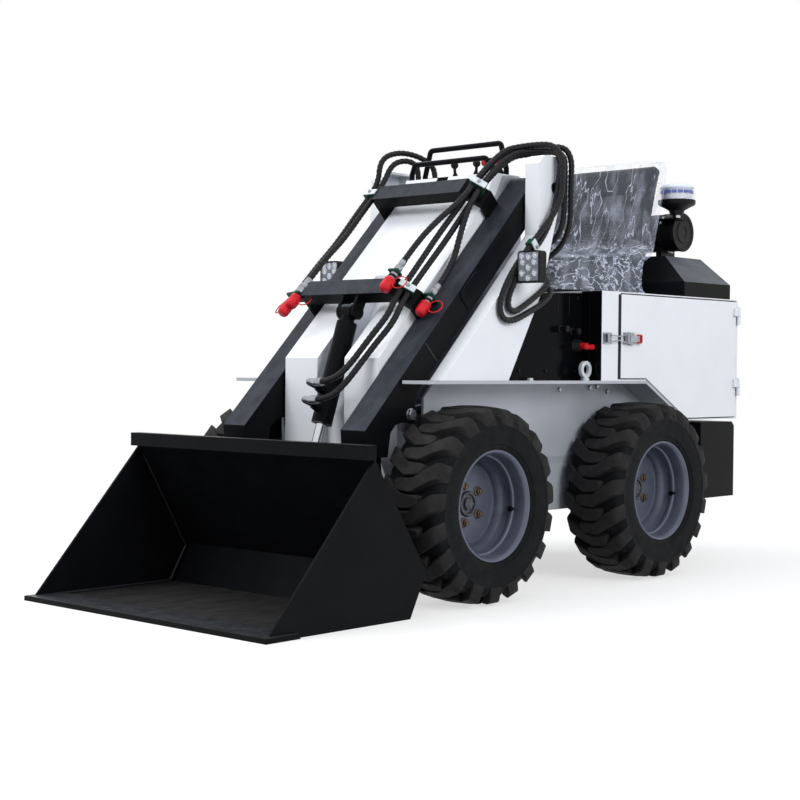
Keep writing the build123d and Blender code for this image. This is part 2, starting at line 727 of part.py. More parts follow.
cross_rise = 152
cross_t = 40
cross_w = 66
cross_foot = 14
cross_runs = [("upper", 109), ("lower", 574)]
for name, run in cross_runs:
    across = Plane(origin=(0, *along_arm(run, 0)), x_dir=(1, 0, 0), z_dir=(0, slope_y, slope_z))
    with BuildPart() as cross:
        with BuildSketch(across):
            with BuildLine():
                outer = arm_inner + cross_foot
                under = cross_rise - cross_t
                Polyline((-outer, beam_half), (-outer, cross_rise), (outer - 60, cross_rise),
                         (outer, cross_rise - 60), (outer, beam_half), (arm_inner, beam_half),
                         (arm_inner, under - 32), (arm_inner - 32, under), (-arm_inner, under),
                         (-arm_inner, beam_half), close=True)
            make_face()
        extrude(amount=cross_w)
        if name == "lower":
            for lug_x in (-eye_w / 2 - 4 - lug_t, eye_w / 2 + 4):
                with BuildSketch(Plane.YZ.offset(lug_x)):
                    with BuildLine():
                        Polyline(along_arm(run + cross_w - 20, cross_rise), along_arm(run + cross_w - 20, under),
                                 (tilt_base_y + 8, tilt_base_z - 24), (tilt_base_y - 20, tilt_base_z + 14),
                                 close=True)
                    make_face()
                    with Locations((tilt_base_y, tilt_base_z)):
                        Circle(24)
                extrude(amount=lug_t)
            with BuildSketch(Plane.YZ.offset(-eye_w / 2 - 4 - lug_t)):
                with Locations((tilt_base_y, tilt_base_z)):
                    Circle(pin_d / 2)
            extrude(amount=eye_w + 8 + 2 * lug_t)
    finish(cross.part, f"cross_member_{name}")


# ================================================================ cylinders
def barrel_part(base, rod_end, length, bore_d, rod_d, x):
    """Cylinder barrel from its base pin towards the rod's pin: eye, tube, gland."""
    dy = rod_end[0] - base[0]
    dz = rod_end[1] - base[1]
    reach = hypot(dy, dz)
    axis = (0, dy / reach, dz / reach)
    with BuildPart() as barrel:
        with BuildSketch(Plane(origin=(x, *base), z_dir=axis)):
            Circle(eye_w / 2 - 2)
        extrude(amount=neck + 4)
        with BuildSketch(Plane(origin=(x, *base), z_dir=axis).offset(neck)):
            Circle(bore_d / 2)
        extrude(amount=length - neck)
        with BuildSketch(Plane.YZ.offset(x - eye_w / 2)):
            with Locations(base):
                Circle(eye_d / 2)
        extrude(amount=eye_w)
        with Locations((x, *base)):
            Cylinder(pin_d / 2 + pin_play, 2 * eye_w, rotation=(0, 90, 0), mode=Mode.SUBTRACT)
        with BuildSketch(Plane(origin=(x, *base), z_dir=axis).offset(eye_d + 6)):
            Circle(rod_d / 2 + 3)
        extrude(amount=length, mode=Mode.SUBTRACT)
        with BuildSketch(Plane(origin=(x, *base), z_dir=axis).offset(length - 26)):
            Circle(bore_d / 2)
            Circle(rod_d / 2 + pin_play, mode=Mode.SUBTRACT)
        extrude(amount=26)
    return barrel.part


def rod_part(base, rod_end, inside, rod_d, x):
    """Chromed rod from inside the barrel to its eye."""
    dy = rod_end[0] - base[0]
    dz = rod_end[1] - base[1]
    reach = hypot(dy, dz)
    axis = (0, dy / reach, dz / reach)
    with BuildPart() as rod:
        with BuildSketch(Plane(origin=(x, *base), z_dir=axis).offset(inside)):
            Circle(rod_d / 2)
        extrude(amount=reach - inside)
        with BuildSketch(Plane.YZ.offset(x - eye_w / 2)):
            with Locations(rod_end):
                Circle(eye_d / 2)
        extrude(amount=eye_w)
    return rod.part


lift_length = 680
tilt_length = 362
lift_base = (lift_base_y, lift_base_z)
rod_pin = (rod_pin_y, rod_pin_z)
lift_barrel = barrel_part(lift_base, rod_pin, lift_length, lift_bore_d, lift_rod_d, cylinder_x)
lift_rod = rod_part(lift_base, rod_pin, 64, lift_rod_d, cylinder_x)
finish(lift_barrel, "lift_barrel_left")
finish(mirror(lift_barrel, about=Plane.YZ), "lift_barrel_right")
finish(lift_rod, "lift_rod_left")
finish(mirror(lift_rod, about=Plane.YZ), "lift_rod_right")

tilt_base = (tilt_base_y, tilt_base_z)
tilt_eye = (tilt_eye_y, tilt_eye_z)
tilt_reach = hypot(tilt_eye_y - tilt_base_y, tilt_eye_z - tilt_base_z)
tilt_y = (tilt_eye_y - tilt_base_y) / tilt_reach
tilt_z = (tilt_eye_z - tilt_base_z) / tilt_reach


def off_tilt(run, rise):
    """Point (y, z) a distance down the tilt cylinder and a rise ahead of it."""
    return (tilt_base_y + run * tilt_y + rise * tilt_z, tilt_base_z + run * tilt_z - rise * tilt_y)


# Two elbows stand on ports ahead of the tilt barrel and turn to the machine's left.
elbow_runs = [262, 318]
elbow_rise = 100
elbow_d = 18
elbow_side = 30
with BuildPart() as ported:
    add(barrel_part(tilt_base, tilt_eye, tilt_length, tilt_bore_d, tilt_rod_d, 0))
    for port_run in elbow_runs:
        root = (0, *off_tilt(port_run, tilt_bore_d / 2 - 2))
        knee = (0, *off_tilt(port_run, elbow_rise))
        nozzle = (elbow_side, *off_tilt(port_run, elbow_rise))
        with BuildLine() as bend:
            FilletPolyline(root, knee, nozzle, radius=14)
        with BuildSketch(Plane(origin=root, z_dir=bend.line % 0)):
            Circle(elbow_d / 2)
        sweep(path=bend.line)
        with BuildSketch(Plane(origin=root, z_dir=bend.line % 0)):
            RegularPolygon(16, 6)
        extrude(amount=20)
finish(ported.part, "tilt_barrel")
finish(rod_part(tilt_base, tilt_eye, 88, tilt_rod_d, 0), "tilt_rod")

# ================================================================ hoses
# Hydraulic hoses run down the arms: two to the tilt cylinder and four to the quick couplers.
# Clamps hold them at the ends of the cross-members, and couplers end the auxiliary lines.
hose_d = 19
clamp_x = 190              # middle of a cross-member's chamfer, where the left clamps stand
clamp_rise = cross_rise - 30
clamp_runs = {"upper": 140, "lower": 600}
clamp_half_len = 12
row_gap = 22               # between the rows of hoses in a clamp
pitch_half = 12            # half the spacing of the hoses in a row
diagonal = sqrt(0.5)
far_clamp_x = -246.3
far_clamp_rise = 140
coupler_len = 128


def in_clamp(run, row, along):
    """Point (x, y, z) of a hose's middle over the left chamfer: its row, and its place along the row."""
    off = (hose_d / 2 + 3 + row * row_gap) * diagonal
    shift = along * pitch_half * diagonal
    return (clamp_x + off + shift, *along_arm(run, clamp_rise + off - shift))


def hose(points, name):
    """Hose along a route of straight runs, each corner with as large an arc as its two runs allow."""
    corners = []
    for before, corner, after in zip(points, points[1:], points[2:]):
        run_in = Vector(*corner) - Vector(*before)
        run_out = Vector(*after) - Vector(*corner)
        turn = radians(run_in.get_angle(run_out))
        corners.append(0.45 * min(run_in.length, run_out.length) / tan(turn / 2))
    with BuildPart() as tube:
        with BuildLine() as route:
            FilletPolyline(*points, radius=corners)
        with BuildSketch(Plane(origin=route.line @ 0, z_dir=route.line % 0)):
            Circle(hose_d / 2)
        sweep(path=route.line)
    ratio = tube.part.volume / (pi * hose_d ** 2 / 4 * route.wires()[0].length)
    print(name, "length", round(route.wires()[0].length), "volume ratio", round(ratio, 3),
          "radii", [round(radius) for radius in corners])
    finish(tube.part, name)


elbow_1 = (elbow_side, *off_tilt(elbow_runs[0], elbow_rise))
elbow_2 = (elbow_side, *off_tilt(elbow_runs[1], elbow_rise))
upper_run = clamp_runs["upper"]
lower_run = clamp_runs["lower"]
aux_a_run = 528            # where the couplers of the two left auxiliary lines start
aux_b_run = 522
aux_c_run = 560            # and of the two right ones
aux_d_run = 586
core_x = slot_inner        # outer face of the plates that the lines leave from
tower_clamp = (377, 23, 1071.5)   # middle of the clamp outside the left tower
tower_clamp_slope = radians(41)
tower_clamp_out = 13       # from the lines' middle to its outer face


def in_tower_clamp(side, along):
    """Middle of the upper (1) or lower (-1) line in the tower's clamp, some way up along it."""
    x, y, z = tower_clamp
    off = side * (pitch_half - 1)
    return (x, y + along * cos(tower_clamp_slope) - off * sin(tower_clamp_slope),
            z + along * sin(tower_clamp_slope) + off * cos(tower_clamp_slope))



tilt_a_route = [
    (core_x, 165, 1062), (240, 165, 1062), (290, 178, 1078), (344, 186, 1108), (370, 186, 1150),
    (377, 184, 1200), (379, 188, 1262), (381, 190, 1350), (372, 189, 1398), (322, 186, 1412),
    (252, 164, 1398), (216, 112, 1386), in_clamp(86, 0, 1), in_clamp(215, 0, 1),
    (204, *along_arm(370, 116)), in_clamp(530, 0, 1), in_clamp(650, 0, 1), (208, *along_arm(722, 106)),
    (178, *along_arm(808, 94)), (128, -577, 620), (80, *elbow_2[1:]), elbow_2,
]
tilt_b_route = [
    (core_x, 165, 1020), (240, 165, 1020), (276, 190, 1034), (330, 214, 1072), (372, 216, 1124),
    (394, 210, 1180), (402, 206, 1240), (406, 204, 1310), (404, 208, 1384), (368, 206, 1430),
    (300, 192, 1432), (226, 160, 1426), (192, 98, 1410), in_clamp(86, 0, -1), in_clamp(215, 0, -1),
    (188, *along_arm(370, 141)), in_clamp(530, 0, -1), in_clamp(650, 0, -1), (194, *along_arm(712, 128)),
    (172, *along_arm(790, 118)), (128, -560, 676), (80, *elbow_1[1:]), elbow_1,
]
aux_a_route = [
    (core_x, 146, 962), (250, 146, 962), (318, 145, 960), (364, 138, 946), (379, 112, 922),
    (378, 66, 892), (377, 0, 866), (377, -60, 842), (377, -112, 838), (377, -140, 868), (377, -128, 918),
    (377, -84, 984), in_tower_clamp(1, -53), in_tower_clamp(1, 53), (400, 110, 1184), (408, 150, 1240),
    (408, 156, 1310), (402, 158, 1384), (364, 158, 1430), (310, 150, 1440), (250, 128, 1438),
    (214, 84, 1420), in_clamp(86, 1, -1), in_clamp(215, 1, -1), (178, *along_arm(330, 168)),
    (168, *along_arm(440, 176)), (168, *along_arm(aux_a_run, 176)),
]
aux_b_route = [
    (core_x, 118, 988), (250, 118, 988), (330, 119, 986), (374, 112, 972), (382, 86, 950), (378, 46, 922),
    (377, -16, 888), (377, -66, 866), (377, -98, 878), (377, -96, 912), (377, -62, 966), in_tower_clamp(-1, -53),
    in_tower_clamp(-1, 53), (380, 118, 1168), (384, 140, 1235), (386, 150, 1310), (386, 152, 1362), (372, 152, 1396),
    (330, 148, 1408),
    (282, 136, 1410), (238, 92, 1400), in_clamp(86, 1, 1), in_clamp(215, 1, 1), (234, *along_arm(330, 108)),
    (240, *along_arm(430, 68)), (240, *along_arm(aux_b_run, 68)),
]
aux_c_route = [
    (-178, 106, console_top), (-178, 106, 1352), (-190, 104, 1384), (-216, 80, 1396), (-232, 30, 1378),
    (-234, *along_arm(86, far_clamp_rise)), (-234, *along_arm(215, far_clamp_rise)),
    (-231, *along_arm(360, 138)), (-236, *along_arm(470, 148)), (-236, *along_arm(aux_c_run, 148)),
]
aux_d_route = [
    (-160, 172, console_top), (-160, 172, 1352), (-174, 170, 1386), (-210, 136, 1416), (-238, 66, 1424),
    (-253, -4, 1394), (-256, *along_arm(86, far_clamp_rise)), (-256, *along_arm(215, far_clamp_rise)),
    (-259, *along_arm(370, 132)), (-259, *along_arm(490, 140)), (-259, *along_arm(aux_d_run, 140)),
]
hose(tilt_a_route, "hose_tilt_a")
hose(tilt_b_route, "hose_tilt_b")
hose(aux_a_route, "hose_aux_a")
hose(aux_b_route, "hose_aux_b")
hose(aux_c_route, "hose_aux_c")
hose(aux_d_route, "hose_aux_d")


def down_arm(x, run, rise):
    """Plane square to the arm, with its normal down the arm and its y up from it."""
    return Plane(origin=(x, *along_arm(run, rise)), x_dir=(1, 0, 0), z_dir=(0, slope_y, slope_z))


coupler_rows = [
    # x, run and rise of a coupler's start
    (168, aux_a_run, 176),
    (240, aux_b_run, 68),
    (-236, aux_c_run, 148),
    (-259, aux_d_run, 140),
]
sleeve_run = 46            # from a coupler's start to its sleeve
sleeve_d = 26
with BuildPart() as quick:
    for x, run, rise in coupler_rows:
        with BuildSketch(down_arm(x, run, rise)):
            Circle(11)
        extrude(amount=30)
        with BuildSketch(down_arm(x, run + 30, rise)):
            RegularPolygon(15, 6)
        extrude(amount=sleeve_run - 30)
        with BuildSketch(down_arm(x, run + sleeve_run, rise)):
            Circle(sleeve_d / 2)
        extrude(amount=36)
        with BuildSketch(down_arm(x, run + sleeve_run + 36, rise)):
            Circle(17)
        extrude(amount=coupler_len - sleeve_run - 36, taper=6)
finish(quick.part, "couplers")

# Each left clamp is a bored block on a cross-member's chamfer. Plates carry the couplers.
clamp_half = 27
clamp_table = [
    # run, rows of hoses
    (upper_run, 2),
    (lower_run, 1),
]
plate_table = [
    # run, outline of the plate (x, rise), couplers that it holds (x, rise)
    (576, [(148, 152.3), (160, 152.3), (170, 158), (187, 164), (187, 193), (148, 193)], [(168, 176)]),
    (572, [(222, 41.3), (258, 41.3), (258, 86), (222, 86)], [(240, 68)]),
    (633, [(-278, 122), (-220.3, 122), (-220.3, 168), (-278, 160)], [(-236, 148), (-259, 140)]),
]
with BuildPart() as clamps:
    along = Vector(diagonal, -diagonal * up_y, -diagonal * up_z)
    for run, rows in clamp_table:
        height = rows * row_gap + 5
        seat = Vector(clamp_x, *along_arm(run - clamp_half_len, clamp_rise))
        across = Plane(origin=seat, x_dir=along, z_dir=(0, slope_y, slope_z))
        with BuildSketch(across):
            with Locations((0, height / 2)):
                RectangleRounded(2 * clamp_half, height, 4)
            with Locations(*[(side * pitch_half, hose_d / 2 + 3 + row * row_gap)
                             for row in range(rows) for side in (-1, 1)]):
                Circle(hose_d / 2 + pin_play, mode=Mode.SUBTRACT)
        extrude(amount=2 * clamp_half_len)
    with BuildSketch(down_arm(0, upper_run - clamp_half_len, 0)):
        with Locations((far_clamp_x, far_clamp_rise)):
            RectangleRounded(52, 30, 4)
        with Locations((-234, far_clamp_rise), (-256, far_clamp_rise)):
            Circle(hose_d / 2 + pin_play, mode=Mode.SUBTRACT)
    extrude(amount=2 * clamp_half_len)
    for run, outline, held in plate_table:
        with BuildSketch(down_arm(0, run, 0)):
            with BuildLine():
                Polyline(*outline, close=True)
            make_face()
            with Locations(*held):
                Circle(sleeve_d / 2 + pin_play, mode=Mode.SUBTRACT)
        extrude(amount=6)
finish(clamps.part, "hose_clamps")

with BuildPart() as tower_block:
    lay = Vector(0, cos(tower_clamp_slope), sin(tower_clamp_slope))
    seat_depth = tower_clamp[0] - pillar_out
    with BuildSketch(Plane(origin=Vector(*tower_clamp) - lay * clamp_half_len, x_dir=(1, 0, 0), z_dir=lay)):
        with Locations(((tower_clamp_out - seat_depth) / 2, 0)):
            RectangleRounded(tower_clamp_out + seat_depth, 50, 4)
        with Locations((0, 1 - pitch_half), (0, pitch_half - 1)):
            Circle(hose_d / 2 + pin_play, mode=Mode.SUBTRACT)
    extrude(amount=2 * clamp_half_len)
finish(tower_block.part, "hose_clamp_tower")

# ================================================================ attachment plate and bucket
back_angle = atan2(bucket_top_z - bucket_knee_z, bucket_top_y - bucket_knee_y)
back_y = cos(back_angle)
back_z = sin(back_angle)
off_y = back_z             # square to the back, away from the bucket
off_z = -back_y
plate_t = 12


def behind_back(up, off):
    """Point (y, z) a distance up the bucket's back from its knee and off it."""
    return (bucket_knee_y + up * back_y + off * off_y, bucket_knee_z + up * back_z + off * off_z)


plate_half = 300
with BuildPart() as coupler:
    with BuildSketch(Plane.YZ.offset(-plate_half)):
        with BuildLine():
            Polyline(behind_back(14, 0), behind_back(250, 0), behind_back(250, plate_t), behind_back(14, plate_t),
                     close=True)
        make_face()
    extrude(amount=2 * plate_half)
    for side in (1, -1):
        for lug_mid in (leg_in - 4 - lug_t / 2, leg_in + knuckle_w + 4 + lug_t / 2):
            with BuildSketch(Plane.YZ.offset(side * lug_mid - lug_t / 2)):
                with BuildLine():
                    Polyline(behind_back(150, 2), behind_back(20, 4), (bucket_knee_y + 6, bucket_knee_z),
                             (lower_pin_y - 14, lower_pin_z - 18), (lower_pin_y + 24, lower_pin_z + 8), close=True)
                make_face()
                with Locations((lower_pin_y, lower_pin_z)):
                    Circle(24)
            extrude(amount=lug_t)
        with BuildSketch(Plane.YZ.offset(side * arm_mid_x - knuckle_w / 2 - 4 - lug_t)):
            with Locations((lower_pin_y, lower_pin_z)):
                Circle(pin_d / 2)
        extrude(amount=knuckle_w + 8 + 2 * lug_t)
    for lug_x in (-eye_w / 2 - 4 - lug_t, eye_w / 2 + 4):
        with BuildSketch(Plane.YZ.offset(lug_x)):
            with BuildLine():
                Polyline(behind_back(220, 2), behind_back(60, 2), (tilt_eye_y + 8, tilt_eye_z - 22),
                         (tilt_eye_y + 6, tilt_eye_z + 22), close=True)
            make_face()
            with Locations((tilt_eye_y, tilt_eye_z)):
                Circle(24)
        extrude(amount=lug_t)
finish(coupler.part, "attachment_plate")

bucket_side = [(front_y + 14, 0), (bucket_heel_y, 0), (bucket_knee_y, bucket_knee_z), (bucket_top_y, bucket_top_z)]
with BuildPart() as bucket:
    with BuildSketch(Plane.YZ.offset(-bucket_half)):
        with BuildLine():
            Polyline(*bucket_side, close=True)
        make_face()
    extrude(amount=2 * bucket_half)
    with BuildSketch(Plane.YZ.offset(bucket_sheet - bucket_half)):
        with BuildLine():
            Polyline((front_y - 200, bucket_sheet), (bucket_heel_y - 5, bucket_sheet),
                     (bucket_knee_y - 9.5, bucket_knee_z), (bucket_top_y - 9.5, bucket_top_z + 1),
                     (bucket_top_y - 60, bucket_top_z + 200), (front_y - 200, bucket_top_z + 200), close=True)
        make_face()
    extrude(amount=2 * (bucket_half - bucket_sheet), mode=Mode.SUBTRACT)
    with BuildSketch(Plane.XY):
        with Locations((0, front_y + edge_depth / 2)):
            Rectangle(2 * edge_half, edge_depth)
    extrude(amount=edge_t)
    with BuildSketch(Plane.XY.offset(bucket_top_z - 2)):
        with Locations((0, bucket_top_y - bar_d / 2 + 4)):
            Rectangle(2 * bucket_half, bar_d)
    extrude(amount=bar_h)
finish(bucket.part, "bucket")
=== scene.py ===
"""Looks of a ride-on skid steer loader: its finishes, tyres, hoses, fittings, seat and studio."""

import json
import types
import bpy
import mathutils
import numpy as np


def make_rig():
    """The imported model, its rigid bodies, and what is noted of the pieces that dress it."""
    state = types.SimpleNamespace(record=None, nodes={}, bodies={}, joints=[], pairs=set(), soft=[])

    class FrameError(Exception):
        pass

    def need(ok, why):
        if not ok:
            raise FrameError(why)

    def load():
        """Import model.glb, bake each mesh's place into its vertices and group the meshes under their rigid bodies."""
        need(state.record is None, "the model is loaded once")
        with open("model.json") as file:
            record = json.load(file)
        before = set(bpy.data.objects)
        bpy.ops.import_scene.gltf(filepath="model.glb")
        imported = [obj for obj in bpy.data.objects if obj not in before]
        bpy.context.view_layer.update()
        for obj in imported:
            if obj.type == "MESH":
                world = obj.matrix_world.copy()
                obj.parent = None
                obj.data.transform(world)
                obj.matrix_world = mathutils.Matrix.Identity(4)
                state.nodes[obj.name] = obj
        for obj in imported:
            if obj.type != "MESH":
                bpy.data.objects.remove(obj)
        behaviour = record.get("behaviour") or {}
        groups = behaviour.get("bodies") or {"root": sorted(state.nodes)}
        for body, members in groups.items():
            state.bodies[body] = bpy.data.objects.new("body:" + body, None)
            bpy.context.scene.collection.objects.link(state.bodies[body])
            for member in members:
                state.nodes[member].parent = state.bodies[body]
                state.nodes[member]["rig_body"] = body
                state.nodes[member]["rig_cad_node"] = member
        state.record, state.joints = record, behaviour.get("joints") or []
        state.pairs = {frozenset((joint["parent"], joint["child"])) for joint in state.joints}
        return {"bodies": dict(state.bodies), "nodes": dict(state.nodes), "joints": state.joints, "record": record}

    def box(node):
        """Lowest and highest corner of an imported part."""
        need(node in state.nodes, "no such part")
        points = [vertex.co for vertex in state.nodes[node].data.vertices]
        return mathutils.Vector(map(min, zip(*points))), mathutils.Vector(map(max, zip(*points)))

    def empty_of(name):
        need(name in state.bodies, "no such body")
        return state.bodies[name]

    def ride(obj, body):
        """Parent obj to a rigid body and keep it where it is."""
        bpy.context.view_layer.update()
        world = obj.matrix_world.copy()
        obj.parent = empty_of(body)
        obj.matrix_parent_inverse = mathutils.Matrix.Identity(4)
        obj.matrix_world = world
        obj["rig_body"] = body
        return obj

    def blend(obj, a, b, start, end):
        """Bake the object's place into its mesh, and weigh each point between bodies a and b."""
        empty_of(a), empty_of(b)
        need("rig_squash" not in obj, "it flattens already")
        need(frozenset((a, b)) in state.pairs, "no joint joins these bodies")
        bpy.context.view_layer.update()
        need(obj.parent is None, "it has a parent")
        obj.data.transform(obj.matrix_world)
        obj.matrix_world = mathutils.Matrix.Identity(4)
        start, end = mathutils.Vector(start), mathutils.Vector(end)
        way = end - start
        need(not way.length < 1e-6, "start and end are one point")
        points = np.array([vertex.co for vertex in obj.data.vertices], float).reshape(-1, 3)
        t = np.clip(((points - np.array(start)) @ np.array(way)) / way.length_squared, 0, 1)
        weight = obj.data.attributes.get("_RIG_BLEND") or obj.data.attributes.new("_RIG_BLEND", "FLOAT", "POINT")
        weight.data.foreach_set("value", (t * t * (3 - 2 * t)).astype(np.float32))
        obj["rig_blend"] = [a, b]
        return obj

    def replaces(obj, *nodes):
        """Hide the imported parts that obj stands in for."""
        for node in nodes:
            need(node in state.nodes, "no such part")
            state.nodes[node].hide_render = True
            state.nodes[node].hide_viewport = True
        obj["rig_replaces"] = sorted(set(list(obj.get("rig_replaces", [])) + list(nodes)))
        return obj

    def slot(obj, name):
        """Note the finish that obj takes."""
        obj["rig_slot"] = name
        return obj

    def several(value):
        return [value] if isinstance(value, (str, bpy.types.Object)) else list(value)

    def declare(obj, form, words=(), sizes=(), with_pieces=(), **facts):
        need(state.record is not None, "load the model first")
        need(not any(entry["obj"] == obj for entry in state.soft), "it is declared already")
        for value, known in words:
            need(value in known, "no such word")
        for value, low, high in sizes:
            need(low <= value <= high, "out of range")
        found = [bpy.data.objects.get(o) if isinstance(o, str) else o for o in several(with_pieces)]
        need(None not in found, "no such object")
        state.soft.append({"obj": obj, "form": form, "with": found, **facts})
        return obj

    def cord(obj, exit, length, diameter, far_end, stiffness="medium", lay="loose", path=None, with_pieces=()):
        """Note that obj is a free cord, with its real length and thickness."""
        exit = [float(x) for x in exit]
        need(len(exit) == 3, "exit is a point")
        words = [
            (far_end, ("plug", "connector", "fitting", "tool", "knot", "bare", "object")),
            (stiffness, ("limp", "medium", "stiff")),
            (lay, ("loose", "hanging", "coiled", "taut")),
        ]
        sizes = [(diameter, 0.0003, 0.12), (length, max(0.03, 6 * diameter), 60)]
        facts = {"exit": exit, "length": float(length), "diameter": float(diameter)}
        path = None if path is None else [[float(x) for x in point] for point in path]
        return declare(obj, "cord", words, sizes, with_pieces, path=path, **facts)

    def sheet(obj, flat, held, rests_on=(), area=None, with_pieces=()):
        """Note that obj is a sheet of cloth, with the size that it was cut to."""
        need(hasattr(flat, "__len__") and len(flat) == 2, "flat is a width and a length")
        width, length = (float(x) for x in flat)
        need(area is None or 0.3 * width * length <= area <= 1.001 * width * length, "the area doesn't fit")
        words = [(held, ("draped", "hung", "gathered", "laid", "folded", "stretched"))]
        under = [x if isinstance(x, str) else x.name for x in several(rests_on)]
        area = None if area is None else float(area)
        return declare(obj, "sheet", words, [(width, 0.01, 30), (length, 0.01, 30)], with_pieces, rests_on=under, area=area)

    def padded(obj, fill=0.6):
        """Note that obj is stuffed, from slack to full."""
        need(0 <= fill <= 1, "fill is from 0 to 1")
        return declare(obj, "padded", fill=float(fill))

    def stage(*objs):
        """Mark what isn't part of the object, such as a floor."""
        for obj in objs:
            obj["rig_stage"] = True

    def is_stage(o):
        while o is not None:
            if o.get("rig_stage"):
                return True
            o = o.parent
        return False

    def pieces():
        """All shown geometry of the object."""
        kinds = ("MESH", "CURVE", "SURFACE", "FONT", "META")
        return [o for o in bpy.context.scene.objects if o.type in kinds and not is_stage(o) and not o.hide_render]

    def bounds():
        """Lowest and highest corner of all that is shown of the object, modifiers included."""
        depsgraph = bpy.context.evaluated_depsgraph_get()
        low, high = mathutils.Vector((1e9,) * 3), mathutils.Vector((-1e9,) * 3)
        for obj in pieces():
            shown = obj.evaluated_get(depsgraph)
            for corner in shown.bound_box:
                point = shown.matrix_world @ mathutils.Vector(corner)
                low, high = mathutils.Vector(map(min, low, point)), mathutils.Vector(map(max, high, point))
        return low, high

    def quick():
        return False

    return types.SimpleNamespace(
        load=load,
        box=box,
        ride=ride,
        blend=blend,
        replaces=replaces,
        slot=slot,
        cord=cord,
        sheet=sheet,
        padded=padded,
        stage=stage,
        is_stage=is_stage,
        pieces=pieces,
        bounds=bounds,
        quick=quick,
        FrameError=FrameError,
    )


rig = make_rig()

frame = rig.load()

import json
import logging
from dataclasses import dataclass
from enum import Enum
from math import ceil, cos, pi, radians, sin, tau
from typing import Callable, Iterable, Sequence

import bmesh
import bpy
from mathutils import Matrix, Vector, noise

log = logging.getLogger("loader")
Point = tuple[float, float, float]
Colour = tuple[float, float, float]
ORIGIN = (0, 0, 0)
X_AXIS = (1, 0, 0)
Z_AXIS = (0, 0, 1)


# ---------------------------------------------------------------- short calls for Blender's data
def add_node(tree: bpy.types.NodeTree, kind: str, inputs: dict | None = None,
             **settings: object) -> bpy.types.Node:
    """Adds a node to a tree.

    Args:
        tree: The node tree.
        kind: Blender's name of the node type.
        inputs: Values or output sockets by input name or index.
        settings: Properties of the node.

    Returns:
        The new node.
    """
    node = tree.nodes.new(kind)
    for key, value in settings.items():
        setattr(node, key, value)
    for key, value in (inputs or {}).items():
        if isinstance(value, bpy.types.NodeSocket):
            tree.links.new(value, node.inputs[key])
        else:
            node.inputs[key].default_value = value
    return node


def place_object(name: str, data: bpy.types.ID) -> bpy.types.Object:
    """Puts an object with its data in the scene."""
    item = bpy.data.objects.new(name, data)
    bpy.context.scene.collection.objects.link(item)
    return item


def solved_mesh(item: bpy.types.Object) -> bpy.types.Mesh:
    """The mesh of an object as its modifiers leave it."""
    bpy.context.view_layer.update()
    solved = item.evaluated_get(bpy.context.evaluated_depsgraph_get())
    return bpy.data.meshes.new_from_object(solved)


def side_name(side: int) -> str:
    """Name of the machine's left side, 1, or its right side, -1."""
    return "left" if side > 0 else "right"


# ---------------------------------------------------------------- finishes
def linear(level: float) -> float:
    """Linear light of one display channel from 0 to 1."""
    return level / 12.92 if level <= 0.04045 else ((level + 0.055) / 1.055) ** 2.4


def shade(red: int, green: int, blue: int) -> Colour:
    """Linear colour of a display colour given as three numbers up to 255."""
    return (linear(red / 255), linear(green / 255), linear(blue / 255))


